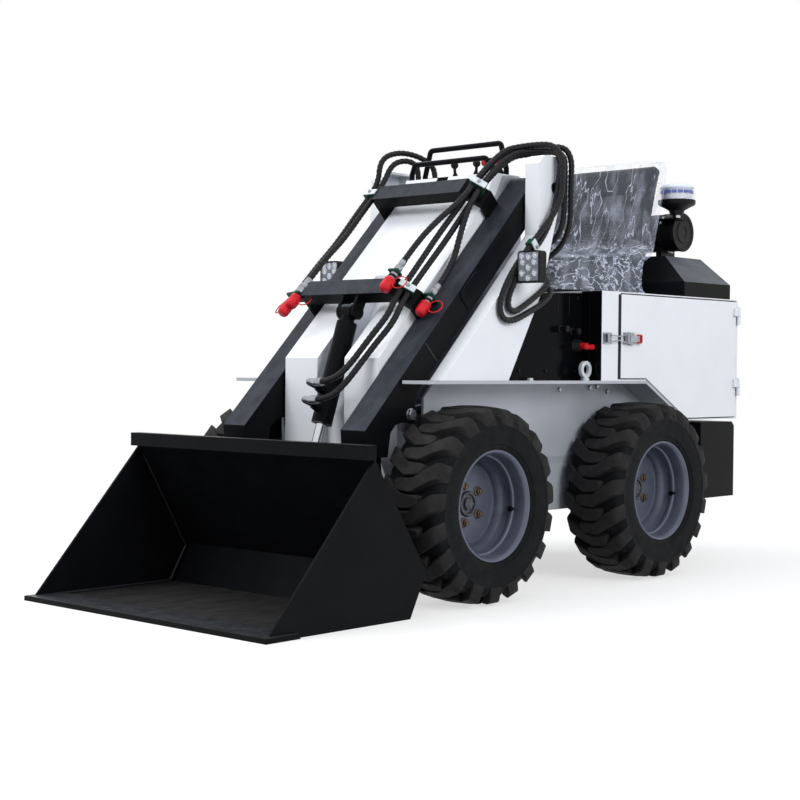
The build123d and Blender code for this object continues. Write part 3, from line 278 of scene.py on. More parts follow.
class Graph:
    """A material's node graph, with short calls for the nodes that the finishes use."""

    def __init__(self, name: str) -> None:
        """Starts an empty material with one principled shader."""
        self.material = bpy.data.materials.new(name)
        self.material.use_nodes = True
        self.tree = self.material.node_tree
        self.tree.nodes.clear()
        self.output = self.add("ShaderNodeOutputMaterial")
        self.shader = self.add("ShaderNodeBsdfPrincipled")
        self.tree.links.new(self.shader.outputs[0], self.output.inputs[0])

    def add(self, kind: str, inputs: dict | None = None, **settings: object) -> bpy.types.Node:
        """Adds a node to the material, as add_node does."""
        return add_node(self.tree, kind, inputs, **settings)

    def place(self, stretch: Point = (1, 1, 1), turn: Point = (0, 0, 0)) -> bpy.types.NodeSocket:
        """Object coordinates, stretched and turned."""
        source = self.add("ShaderNodeTexCoord").outputs["Object"]
        mapping = self.add("ShaderNodeMapping", {"Vector": source, "Scale": stretch, "Rotation": turn})
        return mapping.outputs[0]

    def cloud(self, size: float, detail: float = 4, where: bpy.types.NodeSocket | None = None,
              roughness: float = 0.55, twist: float = 0.0) -> bpy.types.NodeSocket:
        """Noise with features of a size in metres."""
        vector = where or self.place()
        node = self.add("ShaderNodeTexNoise", {"Vector": vector, "Scale": 1 / size, "Detail": detail,
                                               "Roughness": roughness, "Distortion": twist})
        return node.outputs["Fac"]

    def span(self, value: bpy.types.NodeSocket, low: float, high: float, start: float = 0.3,
             end: float = 0.7) -> bpy.types.NodeSocket:
        """A value that goes from low to high while its source goes from start to end."""
        node = self.add("ShaderNodeMapRange", {"Value": value, "From Min": start, "From Max": end,
                                               "To Min": low, "To Max": high})
        return node.outputs[0]

    def sums(self, kind: str, first: object, second: object) -> bpy.types.NodeSocket:
        """Result of a two-value sum."""
        return self.add("ShaderNodeMath", {0: first, 1: second}, operation=kind).outputs[0]

    def mix(self, share: bpy.types.NodeSocket, first: object, second: object) -> bpy.types.NodeSocket:
        """A colour between two, by a share from 0 to 1."""
        ends = [end if isinstance(end, bpy.types.NodeSocket) else (*end, 1) for end in (first, second)]
        return self.add("ShaderNodeMix", {0: share, 6: ends[0], 7: ends[1]}, data_type="RGBA").outputs[2]

    def into(self, name: str, value: bpy.types.NodeSocket) -> None:
        """Links a value to an input of the shader."""
        self.tree.links.new(value, self.shader.inputs[name])

    def relief(self, height: bpy.types.NodeSocket, depth: float, rounding: float = 0.0) -> None:
        """Gives the shader a bumped normal, on edges that look rounded.

        Args:
            height: Pattern from 0 to 1.
            depth: Its depth in metres.
            rounding: Radius of the edges in metres, or none.
        """
        inputs: dict = {"Height": height, "Distance": depth, "Strength": 1.0}
        if rounding:
            inputs["Normal"] = self.add("ShaderNodeBevel", {"Radius": rounding}, samples=4).outputs[0]
        self.into("Normal", self.add("ShaderNodeBump", inputs).outputs[0])


@dataclass(frozen=True)
class Finish:
    """A painted, plated or moulded surface, with the patches, grain and gloss that it shows."""

    name: str
    colour: Colour
    patch: Colour | None = None
    patch_size: float = 0.16
    metallic: float = 0.0
    roughness: float = 0.4
    spread: float = 0.06
    grain_size: float = 0.0016
    grain_depth: float = 0.00006
    stretch: Point = (1, 1, 1)
    coat: float = 0.0
    specular: float = 0.5
    rounding: float = 0.002
    glow: Colour | None = None
    glow_strength: float = 0.0

    def tint(self, graph: Graph) -> bpy.types.NodeSocket:
        """The base colour, wandering between the two colours in soft patches."""
        second = self.patch or tuple(channel * 0.86 for channel in self.colour)
        share = graph.span(graph.cloud(self.patch_size, 6), 0, 1)
        return graph.mix(share, self.colour, second)

    def height(self, graph: Graph) -> bpy.types.NodeSocket:
        """The fine grain of the surface."""
        return graph.cloud(self.grain_size, 3, graph.place(self.stretch))

    def gloss(self, graph: Graph) -> bpy.types.NodeSocket:
        """Roughness, with duller and brighter patches."""
        broad = graph.cloud(self.patch_size * 0.45, 5, graph.place(self.stretch))
        return graph.span(broad, max(0.03, self.roughness - self.spread), self.roughness + self.spread)

    def make(self) -> bpy.types.Material:
        """The finished material, built once for each finish."""
        known = bpy.data.materials.get(self.name)
        if known:
            return known
        graph = Graph(self.name)
        graph.into("Base Color", self.tint(graph))
        graph.into("Roughness", self.gloss(graph))
        shader = graph.shader.inputs
        shader["Metallic"].default_value = self.metallic
        shader["Coat Weight"].default_value = self.coat
        shader["Coat Roughness"].default_value = 0.08
        shader["Specular IOR Level"].default_value = self.specular
        if self.glow:
            shader["Emission Color"].default_value = (*self.glow, 1)
            shader["Emission Strength"].default_value = self.glow_strength
        graph.relief(self.height(graph), self.grain_depth, self.rounding)
        self.extra(graph)
        return graph.material

    def extra(self, graph: Graph) -> None:
        """Room for what one kind of finish adds."""


@dataclass(frozen=True)
class ScuffAndSheenPaint(Finish):
    """Black paint with a lighter colour on faces that look up: rubbed wear on the bucket, and a painted sky reflection
    on the black parts that use BLACK.
    """

    # Colour of upward faces, set by each finish: real wear on the bucket, a painted sky reflection on BLACK.
    scuff_and_sheen: Colour = (0.034, 0.032, 0.031)
    level: float = 0.8
    full: float = 0.98

    def tint(self, graph: Graph) -> bpy.types.NodeSocket:
        """Paint colour, with the second colour on upward faces: scuffs on the bucket, a painted sky reflection
        elsewhere.
        """
        base = super().tint(graph)
        normal = graph.add("ShaderNodeNewGeometry").outputs["Normal"]
        upward = graph.add("ShaderNodeSeparateXYZ", {0: normal}).outputs[2]
        faces = graph.span(upward, 0, 1, self.level, self.full)
        streaks = graph.cloud(0.05, 8, graph.place((1.0, 0.25, 1.0)), 0.7, 0.6)
        return graph.mix(graph.sums("MULTIPLY", faces, graph.span(streaks, 0.35, 1.0)), base, self.scuff_and_sheen)


@dataclass(frozen=True)
class Hide(Finish):
    """Coated seat fabric with a leather grain."""

    def height(self, graph: Graph) -> bpy.types.NodeSocket:
        """Small cells with soft borders."""
        node = graph.add("ShaderNodeTexVoronoi", {"Vector": graph.place(), "Scale": 1 / self.grain_size},
                         feature="SMOOTH_F1")
        return node.outputs["Distance"]


@dataclass(frozen=True)
class Film(Finish):
    """Thin clear packing film, hazed in patches, with painted highlights along its creases as whiter, less clear
    lines.
    """

    @staticmethod
    def ridge(graph: Graph, cloud: bpy.types.NodeSocket, width: float, peak: float) -> bpy.types.NodeSocket:
        """Thin lines where a cloud passes its middle level."""
        gap = graph.sums("ABSOLUTE", graph.sums("SUBTRACT", cloud, 0.5), 0)
        return graph.span(gap, peak, 0.05, 0.0, width)

    def extra(self, graph: Graph) -> None:
        """Transparency that drops along the creases, where the whiter film is a painted highlight."""
        height = graph.add("ShaderNodeSeparateXYZ", {0: graph.place()}).outputs[2]
        skirt = graph.span(height, 1.0, 0.0, 1.085, 1.175)
        long_folds = graph.cloud(0.075, 3, graph.place((1.3, 1.3, 0.13)), 0.5, 0.3)
        creases = graph.cloud(0.062, 4, graph.place((1.0, 1.0, 1.6), (0.5, 0.35, 0.2)), 0.56, 0.5)
        veil = graph.span(graph.cloud(0.05, 5, graph.place((1.0, 1.0, 0.3))), 0.05, 0.26, 0.45, 0.70)
        back = graph.sums("MAXIMUM", veil, self.ridge(graph, long_folds, 0.014, 0.5))
        front = graph.sums("MAXIMUM", graph.sums("ADD", veil, 0.07), self.ridge(graph, creases, 0.034, 0.85))
        gap = graph.sums("SUBTRACT", front, back)
        graph.into("Alpha", graph.sums("ADD", back, graph.sums("MULTIPLY", gap, skirt)))
        graph.shader.inputs["IOR"].default_value = 1.5


@dataclass(frozen=True)
class ClearPlastic(Finish):
    """Clear moulded plastic over a lamp."""

    alpha: float = 0.3

    def extra(self, graph: Graph) -> None:
        """A steady share of light passes."""
        graph.shader.inputs["Alpha"].default_value = self.alpha


WHITE = Finish("white_powder_coat", shade(226, 228, 233), shade(219, 222, 228), roughness=0.34, spread=0.05,
               grain_size=0.0022, grain_depth=0.00005, coat=0.15)
SILVER = Finish("silver_grey_coat", shade(176, 180, 188), shade(165, 169, 178), metallic=0.25,
                roughness=0.42, spread=0.07, grain_size=0.0014)
# The blue-grey on upward faces of this paint is a painted reflection of the sky, not wear.
BLACK = ScuffAndSheenPaint("black_semi_gloss", shade(11, 12, 15), shade(8, 9, 11), roughness=0.36, spread=0.07,
                     patch_size=0.22, grain_size=0.0024, specular=0.07, scuff_and_sheen=shade(80, 84, 95), level=0.62,
                     full=0.80)
DEEP = Finish("black_gloss_panel", shade(9, 10, 13), shade(6, 7, 9), roughness=0.16, spread=0.04,
              patch_size=0.3, grain_size=0.003, grain_depth=0.00004, specular=0.04)
BUCKET_BLACK = ScuffAndSheenPaint("bucket_paint", shade(16, 17, 20), shade(11, 12, 14), spread=0.1,
                            patch_size=0.12, grain_size=0.002, specular=0.05)
RUBBER = Finish("moulded_rubber", shade(20, 21, 23), shade(13, 14, 16), patch_size=0.05, roughness=0.6,
                spread=0.1, grain_size=0.0012, specular=0.08, rounding=0.0)
# The lugs' lighter brown-grey than the sidewall rubber is partly dust and partly a painted top light.
TREAD = Finish("tyre_tread", shade(44, 43, 43), shade(29, 29, 31), patch_size=0.035, roughness=0.68,
               spread=0.12, grain_size=0.0012, grain_depth=0.00008, specular=0.1, rounding=0.0012)
RIM = Finish("wheel_paint", shade(100, 105, 119), shade(86, 91, 105), metallic=0.4, roughness=0.34,
             spread=0.07, patch_size=0.07, specular=0.3, rounding=0.001)
CHROME = Finish("hard_chrome", shade(214, 216, 220), shade(200, 203, 208), metallic=1.0, roughness=0.12,
                spread=0.04, grain_size=0.0008, grain_depth=0.00001, stretch=(1, 1, 12))
STEEL = Finish("turned_steel", shade(178, 182, 188), shade(150, 153, 160), metallic=0.9, roughness=0.28,
               spread=0.1, patch_size=0.02, grain_size=0.0006, grain_depth=0.00002, rounding=0.0)
HUB = Finish("hub_steel", shade(96, 98, 104), shade(70, 72, 78), metallic=0.7, roughness=0.34, spread=0.1,
             patch_size=0.02, grain_size=0.001, grain_depth=0.00003)
ZINC = Finish("yellow_zinc", shade(112, 99, 82), shade(88, 74, 62), metallic=0.75, roughness=0.36,
              spread=0.1, patch_size=0.008, grain_size=0.0006, grain_depth=0.00002, rounding=0.0)
BARE = Finish("castor_black", shade(16, 16, 19), shade(11, 11, 14), roughness=0.48, spread=0.1,
              grain_size=0.0012, grain_depth=0.00010, specular=0.2)
SLEEVE = Finish("hose_sleeve", shade(21, 21, 24), shade(13, 13, 16), patch_size=0.02, roughness=0.42,
                spread=0.12, grain_size=0.0009, grain_depth=0.00012, specular=0.3, rounding=0.0)
RED = Finish("red_cap", shade(200, 26, 38), shade(170, 16, 28), patch_size=0.02, spread=0.08,
             grain_size=0.0010, specular=0.35, rounding=0.0008)
GREEN = Finish("green_clamp", shade(16, 70, 56), shade(10, 54, 44), patch_size=0.02, roughness=0.46,
               spread=0.08, grain_size=0.0010, grain_depth=0.00008, specular=0.3, rounding=0.0008)
PLATE = Finish("white_zinc_plate", shade(214, 222, 224), shade(192, 200, 206), metallic=0.2, roughness=0.36,
               spread=0.08, patch_size=0.02, grain_size=0.001, grain_depth=0.00004)
HIDE = Hide("seat_hide", shade(27, 29, 34), shade(20, 22, 26), patch_size=0.1, roughness=0.46, spread=0.08,
            grain_depth=0.00022, specular=0.3, rounding=0.0)
THREAD = Finish("seat_thread", shade(58, 60, 66), shade(46, 48, 54), patch_size=0.004, roughness=0.7,
                grain_size=0.0006, grain_depth=0.0001, specular=0.2, rounding=0.0)
# The whiter, less clear crease lines of this film are painted highlights.
FILM = Film("clear_film", shade(214, 222, 238), shade(196, 205, 224), patch_size=0.05, roughness=0.14,
            spread=0.07, grain_size=0.012, grain_depth=0.0008, specular=0.7, rounding=0.0)
LENS = ClearPlastic("clear_lens", shade(220, 226, 236), shade(206, 214, 226), roughness=0.06, spread=0.03,
                    grain_size=0.003, grain_depth=0.00005, coat=0.3, rounding=0.0, alpha=0.12)
DOME = ClearPlastic("beacon_dome", shade(232, 238, 246), shade(214, 222, 238), roughness=0.12, spread=0.04,
                    grain_size=0.004, grain_depth=0.0003, coat=0.6, rounding=0.0, alpha=0.72)
BLUE = Finish("blue_lamp", shade(22, 48, 168), shade(12, 30, 120), patch_size=0.012, roughness=0.2,
              spread=0.05, grain_size=0.004, grain_depth=0.0003, coat=0.5, rounding=0.0,
              glow=shade(20, 46, 180), glow_strength=0.15)
REFLECTOR = Finish("lamp_reflector", shade(200, 204, 216), shade(170, 176, 194), metallic=0.85,
                   patch_size=0.01, roughness=0.16, spread=0.05, grain_size=0.002, grain_depth=0.0001,
                   rounding=0.0)
LAMP = Finish("lamp_chip", shade(236, 238, 214), shade(226, 226, 190), patch_size=0.004, roughness=0.3,
              grain_size=0.001, grain_depth=0.0001, rounding=0.0)
WELD = Finish("painted_weld", shade(46, 47, 53), shade(30, 31, 36), patch_size=0.02, roughness=0.36,
              spread=0.1, grain_size=0.004, grain_depth=0.0005, specular=0.35, rounding=0.0)
EDGE = Finish("cutting_edge_steel", shade(50, 51, 57), shade(36, 37, 42), patch_size=0.05, metallic=0.2,
              roughness=0.42, spread=0.12, grain_size=0.0015, grain_depth=0.00015, specular=0.25)


# ---------------------------------------------------------------- mesh making
class Axis(Enum):
    """The axis of the machine that an outline is pulled along."""

    X = 0
    Y = 1
    Z = 2


def facing(direction: Vector) -> Matrix:
    """Turn that brings +Z to a direction, with +Y kept as high as it goes."""
    return Vector(direction).to_track_quat("Z", "Y").to_matrix().to_4x4()


def axes(first: Vector, second: Vector, third: Vector) -> Matrix:
    """Turn that brings the X, Y and Z axes to three directions."""
    return Matrix((first, second, third)).transposed().to_4x4()


def thread(points: Sequence[Vector]) -> list[Matrix]:
    """Frames that travel along a line without twisting.

    Args:
        points: The line, two points or more.

    Returns:
        One frame for each point, its Z along the line.
    """
    frames: list[Matrix] = []
    side = None
    for index, point in enumerate(points):
        ahead = points[min(index + 1, len(points) - 1)] - points[max(index - 1, 0)]
        ahead = ahead.normalized()
        if side is None:
            side = ahead.orthogonal().normalized()
        side = (side - ahead * side.dot(ahead)).normalized()
        frames.append(Matrix.Translation(point) @ axes(side, ahead.cross(side), ahead))
    return frames


class Shape:
    """A mesh under construction, in metres in the machine's frame."""

    def __init__(self) -> None:
        """Starts with nothing."""
        self.bm = bmesh.new()

    def rings(self, loops: Sequence[Sequence[Vector]], closed: bool = False, capped: bool = True) -> "Shape":
        """Skins a run of equal loops.

        Args:
            loops: Loops of points, in order.
            closed: Joins the last loop to the first.
            capped: Closes the two ends with a fan.

        Returns:
            The shape.
        """
        rows = [[self.bm.verts.new(point) for point in loop] for loop in loops]
        count = len(rows[0])
        pairs = list(zip(rows, rows[1:])) + ([(rows[-1], rows[0])] if closed else [])
        for lower, upper in pairs:
            for index in range(count):
                after = (index + 1) % count
                self.bm.faces.new((lower[index], lower[after], upper[after], upper[index]))
        if capped and not closed:
            self.bm.faces.new(list(reversed(rows[0])))
            self.bm.faces.new(rows[-1])
        return self

    def turned(self, profile: Sequence[tuple[float, float]], origin: Point = ORIGIN, axis: Point = Z_AXIS,
               segments: int = 48, closed: bool = False) -> "Shape":
        """A turned part.

        Args:
            profile: Pairs of distance along the axis and radius.
            origin: Where the axis starts.
            axis: Direction of the axis.
            segments: Facets round the axis.
            closed: The profile is a closed loop, as for a ring.

        Returns:
            The shape.
        """
        base = Matrix.Translation(Vector(origin)) @ facing(Vector(axis))
        loops = []
        for along, radius in profile:
            loops.append([base @ Vector((radius * cos(tau * step / segments),
                                         radius * sin(tau * step / segments), along))
                          for step in range(segments)])
        return self.rings(loops, closed=closed)

    def slab(self, low: Point, high: Point, edge: float = 0.0, turn: Matrix | None = None) -> "Shape":
        """A block with chamfered edges.

        Args:
            low: Lowest corner.
            high: Highest corner.
            edge: Width of the chamfers.
            turn: Transform applied to the block.

        Returns:
            The shape.
        """
        made = bmesh.ops.create_cube(self.bm, size=1.0)["verts"]
        middle = (Vector(low) + Vector(high)) / 2
        size = Vector(high) - Vector(low)
        for vert in made:
            vert.co = Vector(value * span for value, span in zip(vert.co, size)) + middle
        if edge:
            edges = list({link for vert in made for link in vert.link_edges})
            cut = bmesh.ops.bevel(self.bm, geom=edges, offset=edge, segments=2, affect="EDGES")
            kept = {vert for vert in made if vert.is_valid}
            made = list({vert for face in cut["faces"] for vert in face.verts} | kept)
        if turn:
            bmesh.ops.transform(self.bm, matrix=turn, verts=made)
        return self

    def prism(self, outline: Sequence[tuple[float, float]], axis: Axis, low: float, high: float,
              edge: float = 0.0) -> "Shape":
        """An outline pulled along an axis.

        Args:
            outline: Pairs of the two other coordinates, in order.
            axis: The axis that it is pulled along.
            low: Where it starts.
            high: Where it ends.
            edge: Width of the chamfers.

        Returns:
            The shape.
        """
        def put(first: float, second: float, along: float) -> Vector:
            """A point from its place in the outline and along the axis."""
            return Vector({Axis.X: (along, first, second), Axis.Y: (first, along, second),
                           Axis.Z: (first, second, along)}[axis])
        loops = [[put(first, second, along) for first, second in outline] for along in (low, high)]
        before = set(self.bm.edges)
        self.rings(loops)
        if edge:
            fresh = [item for item in self.bm.edges if item not in before]
            bmesh.ops.bevel(self.bm, geom=fresh, offset=edge, segments=2, affect="EDGES")
        return self

    def pipe(self, points: Sequence[Vector], radius: float | Callable[[int, float], float],
             segments: int = 12) -> "Shape":
        """A tube along a line.

        Args:
            points: The line.
            radius: One radius, or a rule of the point's index and the angle.
            segments: Facets round the tube.

        Returns:
            The shape.
        """
        points = [Vector(point) for point in points]
        rule = radius if callable(radius) else lambda index, angle: radius
        loops = []
        for index, place in enumerate(thread(points)):
            loop = []
            for step in range(segments):
                angle = tau * step / segments
                size = rule(index, angle)
                loop.append(place @ Vector((size * cos(angle), size * sin(angle), 0)))
            loops.append(loop)
        return self.rings(loops)

    def ball(self, centre: Point, radius: float, stretch: Point = (1, 1, 1)) -> "Shape":
        """A ball, stretched along the three axes."""
        levels, around = 14, 24
        loops = []
        for level in range(levels):
            tilt = pi * (level + 0.5) / levels
            along, size = -radius * cos(tilt), radius * sin(tilt)
            loops.append([Vector(centre) + Vector((size * cos(tau * turn / around) * stretch[0],
                                                   size * sin(tau * turn / around) * stretch[1],
                                                   along * stretch[2])) for turn in range(around)])
        return self.rings(loops)

    def mesh(self, name: str, smooth: float = 38.0) -> bpy.types.Object:
        """Turns the shape into an object.

        Args:
            name: Name of the object.
            smooth: Edges sharper than this many degrees stay sharp.

        Returns:
            The object, in the scene.
        """
        bmesh.ops.remove_doubles(self.bm, verts=self.bm.verts, dist=1e-6)
        bmesh.ops.recalc_face_normals(self.bm, faces=self.bm.faces)
        data = bpy.data.meshes.new(name)
        self.bm.to_mesh(data)
        self.bm.free()
        item = place_object(name, data)
        data.shade_smooth()
        data.set_sharp_from_angle(angle=radians(smooth))
        return item

    def piece(self, name: str, finish: Finish, slot: str, body: str = "chassis") -> bpy.types.Object:
        """Turns the shape into a finished piece.

        Args:
            name: Name of the piece.
            finish: Its finish.
            slot: The record's material slot.
            body: The body that it rides on.

        Returns:
            The piece.
        """
        return dress(self.mesh(name), finish, slot, body)


def dress(item: bpy.types.Object, finish: Finish, slot: str, body: str = "chassis") -> bpy.types.Object:
    """Gives a piece its finish, its body and its material slot."""
    item.data.materials.clear()
    item.data.materials.append(finish.make())
    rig.ride(item, body)
    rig.slot(item, slot)
    log.info("%s: %d faces", item.name, len(item.data.polygons))
    return item


# ---------------------------------------------------------------- repeats by Geometry Nodes
class Repeat:
    """Copies of one small part, placed by a node tree and baked to a plain mesh."""

    @staticmethod
    def tree(name: str, inputs: Iterable[tuple[str, str]]) -> bpy.types.GeometryNodeTree:
        """A node tree with geometry in and out and further named inputs."""
        tree = bpy.data.node_groups.new(name, "GeometryNodeTree")
        tree.interface.new_socket("Geometry", in_out="INPUT", socket_type="NodeSocketGeometry")
        for title, kind in inputs:
            tree.interface.new_socket(title, in_out="INPUT", socket_type=kind)
        tree.interface.new_socket("Geometry", in_out="OUTPUT", socket_type="NodeSocketGeometry")
        return tree

    @staticmethod
    def close(tree: bpy.types.GeometryNodeTree, source: bpy.types.NodeSocket,
              finish: bpy.types.NodeSocket) -> None:
        """Ends a tree in real geometry that carries its material."""
        real = add_node(tree, "GeometryNodeRealizeInstances", {0: source})
        paint = add_node(tree, "GeometryNodeSetMaterial", {"Geometry": real.outputs[0], "Material": finish})
        add_node(tree, "NodeGroupOutput", {0: paint.outputs[0]})

    @classmethod
    def ring_tree(cls) -> bpy.types.GeometryNodeTree:
        """Copies that are turned step by step about the X axis through the origin."""
        known = bpy.data.node_groups.get("copies_round_an_axle")
        if known:
            return known
        tree = cls.tree("copies_round_an_axle", (("Part", "NodeSocketObject"), ("Count", "NodeSocketInt"),
                                                 ("Start", "NodeSocketFloat"), ("Step", "NodeSocketFloat"),
                                                 ("Finish", "NodeSocketMaterial")))
        start = add_node(tree, "NodeGroupInput").outputs
        spots = add_node(tree, "GeometryNodePoints", {"Count": start["Count"]})
        part = add_node(tree, "GeometryNodeObjectInfo", {"Object": start["Part"]})
        number = add_node(tree, "GeometryNodeInputIndex")
        turn = add_node(tree, "ShaderNodeMath", {0: number.outputs[0], 1: start["Step"], 2: start["Start"]},
                        operation="MULTIPLY_ADD")
        angles = add_node(tree, "ShaderNodeCombineXYZ", {0: turn.outputs[0]})
        copies = add_node(tree, "GeometryNodeInstanceOnPoints", {
            "Points": spots.outputs[0], "Instance": part.outputs["Geometry"], "Rotation": angles.outputs[0]})
        cls.close(tree, copies.outputs[0], start["Finish"])
        return tree

    @classmethod
    def spot_tree(cls) -> bpy.types.GeometryNodeTree:
        """Copies on the points of a mesh, turned by its attribute named turn."""
        known = bpy.data.node_groups.get("copies_on_points")
        if known:
            return known
        tree = cls.tree("copies_on_points", (("Part", "NodeSocketObject"), ("Size", "NodeSocketFloat"),
                                             ("Finish", "NodeSocketMaterial")))
        start = add_node(tree, "NodeGroupInput").outputs
        part = add_node(tree, "GeometryNodeObjectInfo", {"Object": start["Part"]})
        turn = add_node(tree, "GeometryNodeInputNamedAttribute", {"Name": "turn"}, data_type="FLOAT_VECTOR")
        copies = add_node(tree, "GeometryNodeInstanceOnPoints", {
            "Points": start["Geometry"], "Instance": part.outputs["Geometry"],
            "Rotation": turn.outputs["Attribute"], "Scale": start["Size"]})
        cls.close(tree, copies.outputs[0], start["Finish"])
        return tree

    @staticmethod
    def bake(holder: bpy.types.Object, tree: bpy.types.GeometryNodeTree, values: dict) -> bpy.types.Object:
        """Runs a tree on an object and keeps the result as its plain mesh.

        Args:
            holder: The object that carries the tree.
            tree: The node tree.
            values: Its inputs by name.

        Returns:
            The object, with no modifier left.
        """
        modifier = holder.modifiers.new("copies", "NODES")
        modifier.node_group = tree
        sockets = {item.name: item.identifier for item in tree.interface.items_tree if item.in_out == "INPUT"}
        for title, value in values.items():
            modifier[sockets[title]] = value
        result = solved_mesh(holder)
        holder.modifiers.clear()
        holder.data = result
        bpy.data.objects.remove(values["Part"])
        return holder

    @classmethod
    def ring(cls, name: str, part: Shape, count: int, finish: Finish, start: float = 0.0,
             step: float | None = None, smooth: float = 38.0) -> bpy.types.Object:
        """Copies of a part about the X axis."""
        seed = part.mesh(name + "_seed", smooth)
        holder = Shape().mesh(name)
        return cls.bake(holder, cls.ring_tree(), {
            "Part": seed, "Count": count, "Start": start, "Step": tau / count if step is None else step,
            "Finish": finish.make()})

    @classmethod
    def spots(cls, name: str, part: Shape, places: Sequence[tuple[Point, Point]], finish: Finish, slot: str,
              body: str = "chassis", size: float = 1.0) -> bpy.types.Object:
        """Copies of a part at given points.

        Args:
            name: Name of the piece.
            part: The part, at the origin, with its head towards +Z.
            places: Pairs of a point and the direction that the head looks in.
            finish: The finish of the copies.
            slot: The record's material slot.
            body: The body that they ride on.
            size: Scale of the part.

        Returns:
            One piece that holds the copies.
        """
        seed = part.mesh(name + "_seed")
        data = bpy.data.meshes.new(name)
        data.from_pydata([point for point, _ in places], [], [])
        turns = data.attributes.new("turn", "FLOAT_VECTOR", "POINT")
        for index, (_, direction) in enumerate(places):
            turns.data[index].vector = facing(Vector(direction)).to_euler()
        holder = place_object(name, data)
        cls.bake(holder, cls.spot_tree(), {"Part": seed, "Size": size, "Finish": finish.make()})
        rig.ride(holder, body)
        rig.slot(holder, slot)
        return holder


def hex_bolt(across: float, height: float) -> Shape:
    """A hexagon head with its washer, standing on the origin."""
    washer = [(-0.0005, across * 0.62), (0.0012, across * 0.62), (0.0016, across * 0.58)]
    shape = Shape().turned(washer, segments=20)
    radius = across / 2 / cos(pi / 6)
    shape.turned([(0.001, radius), (height * 0.82, radius), (height, radius * 0.86)], segments=6)
    return shape


def domed_rivet(radius: float) -> Shape:
    """A low round head, standing on the origin."""
    return Shape().turned([(-0.0003, radius), (radius * 0.3, radius * 0.92), (radius * 0.55, radius * 0.6),
                           (radius * 0.64, radius * 0.2)], segments=14)


def spokes(centre: Point, radius: float, count: int, axis: Axis,
           first: float = 0.0) -> list[tuple[Point, Point]]:
    """Points round a centre with their outward directions.

    Args:
        centre: The centre.
        radius: Distance of the points from it.
        count: Number of points.
        axis: The axis that they go round, X or Z.
        first: Place of the first point, in steps.

    Returns:
        Pairs of a point and a direction.
    """
    made = []
    for number in range(count):
        angle = tau * (number + first) / count
        c, s = cos(angle), sin(angle)
        out = Vector((0, c, s) if axis is Axis.X else (c, s, 0))
        made.append((tuple(Vector(centre) + out * radius), tuple(out)))
    return made


# ---------------------------------------------------------------- the machine's own directions
@dataclass(frozen=True)
class Layout:
    """Places and directions that the sub-assemblies share."""

    arm_slope: float = radians(45.5)
    tilt_base: tuple[float, float] = (-0.405, 0.862)
    tilt_eye: tuple[float, float] = (-0.616, 0.256)
    console_top: float = 1.322

    def pivot(self) -> Vector:
        """Middle of the lift arms' upper pins."""
        return Vector(next(joint["pos_m"] for joint in frame["joints"] if joint["name"] == "lift"))

    def down(self) -> Vector:
        """Unit vector down along the arms."""
        return Vector((0, -cos(self.arm_slope), -sin(self.arm_slope)))

    def up(self) -> Vector:
        """Unit vector square to the arms, up and forward."""
        return Vector((0, -sin(self.arm_slope), cos(self.arm_slope)))

    def on_arm(self, x: float, run: float, rise: float) -> Point:
        """Point a run down the arm from its pivot and a rise above its middle line."""
        spot = self.pivot() + self.down() * run + self.up() * rise
        return (x, spot.y, spot.z)

    def on_tilt(self, x: float, run: float, rise: float) -> Point:
        """Point a run down the tilt cylinder from its base and a rise ahead of it."""
        base, eye = Vector(self.tilt_base), Vector(self.tilt_eye)
        along = (eye - base).normalized()
        return (x, base.x + run * along.x + rise * along.y, base.y + run * along.y - rise * along.x)


PLAN = Layout()


def middle(node: str) -> Vector:
    """Middle of a node's box."""
    low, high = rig.box(node)
    return (low + high) / 2


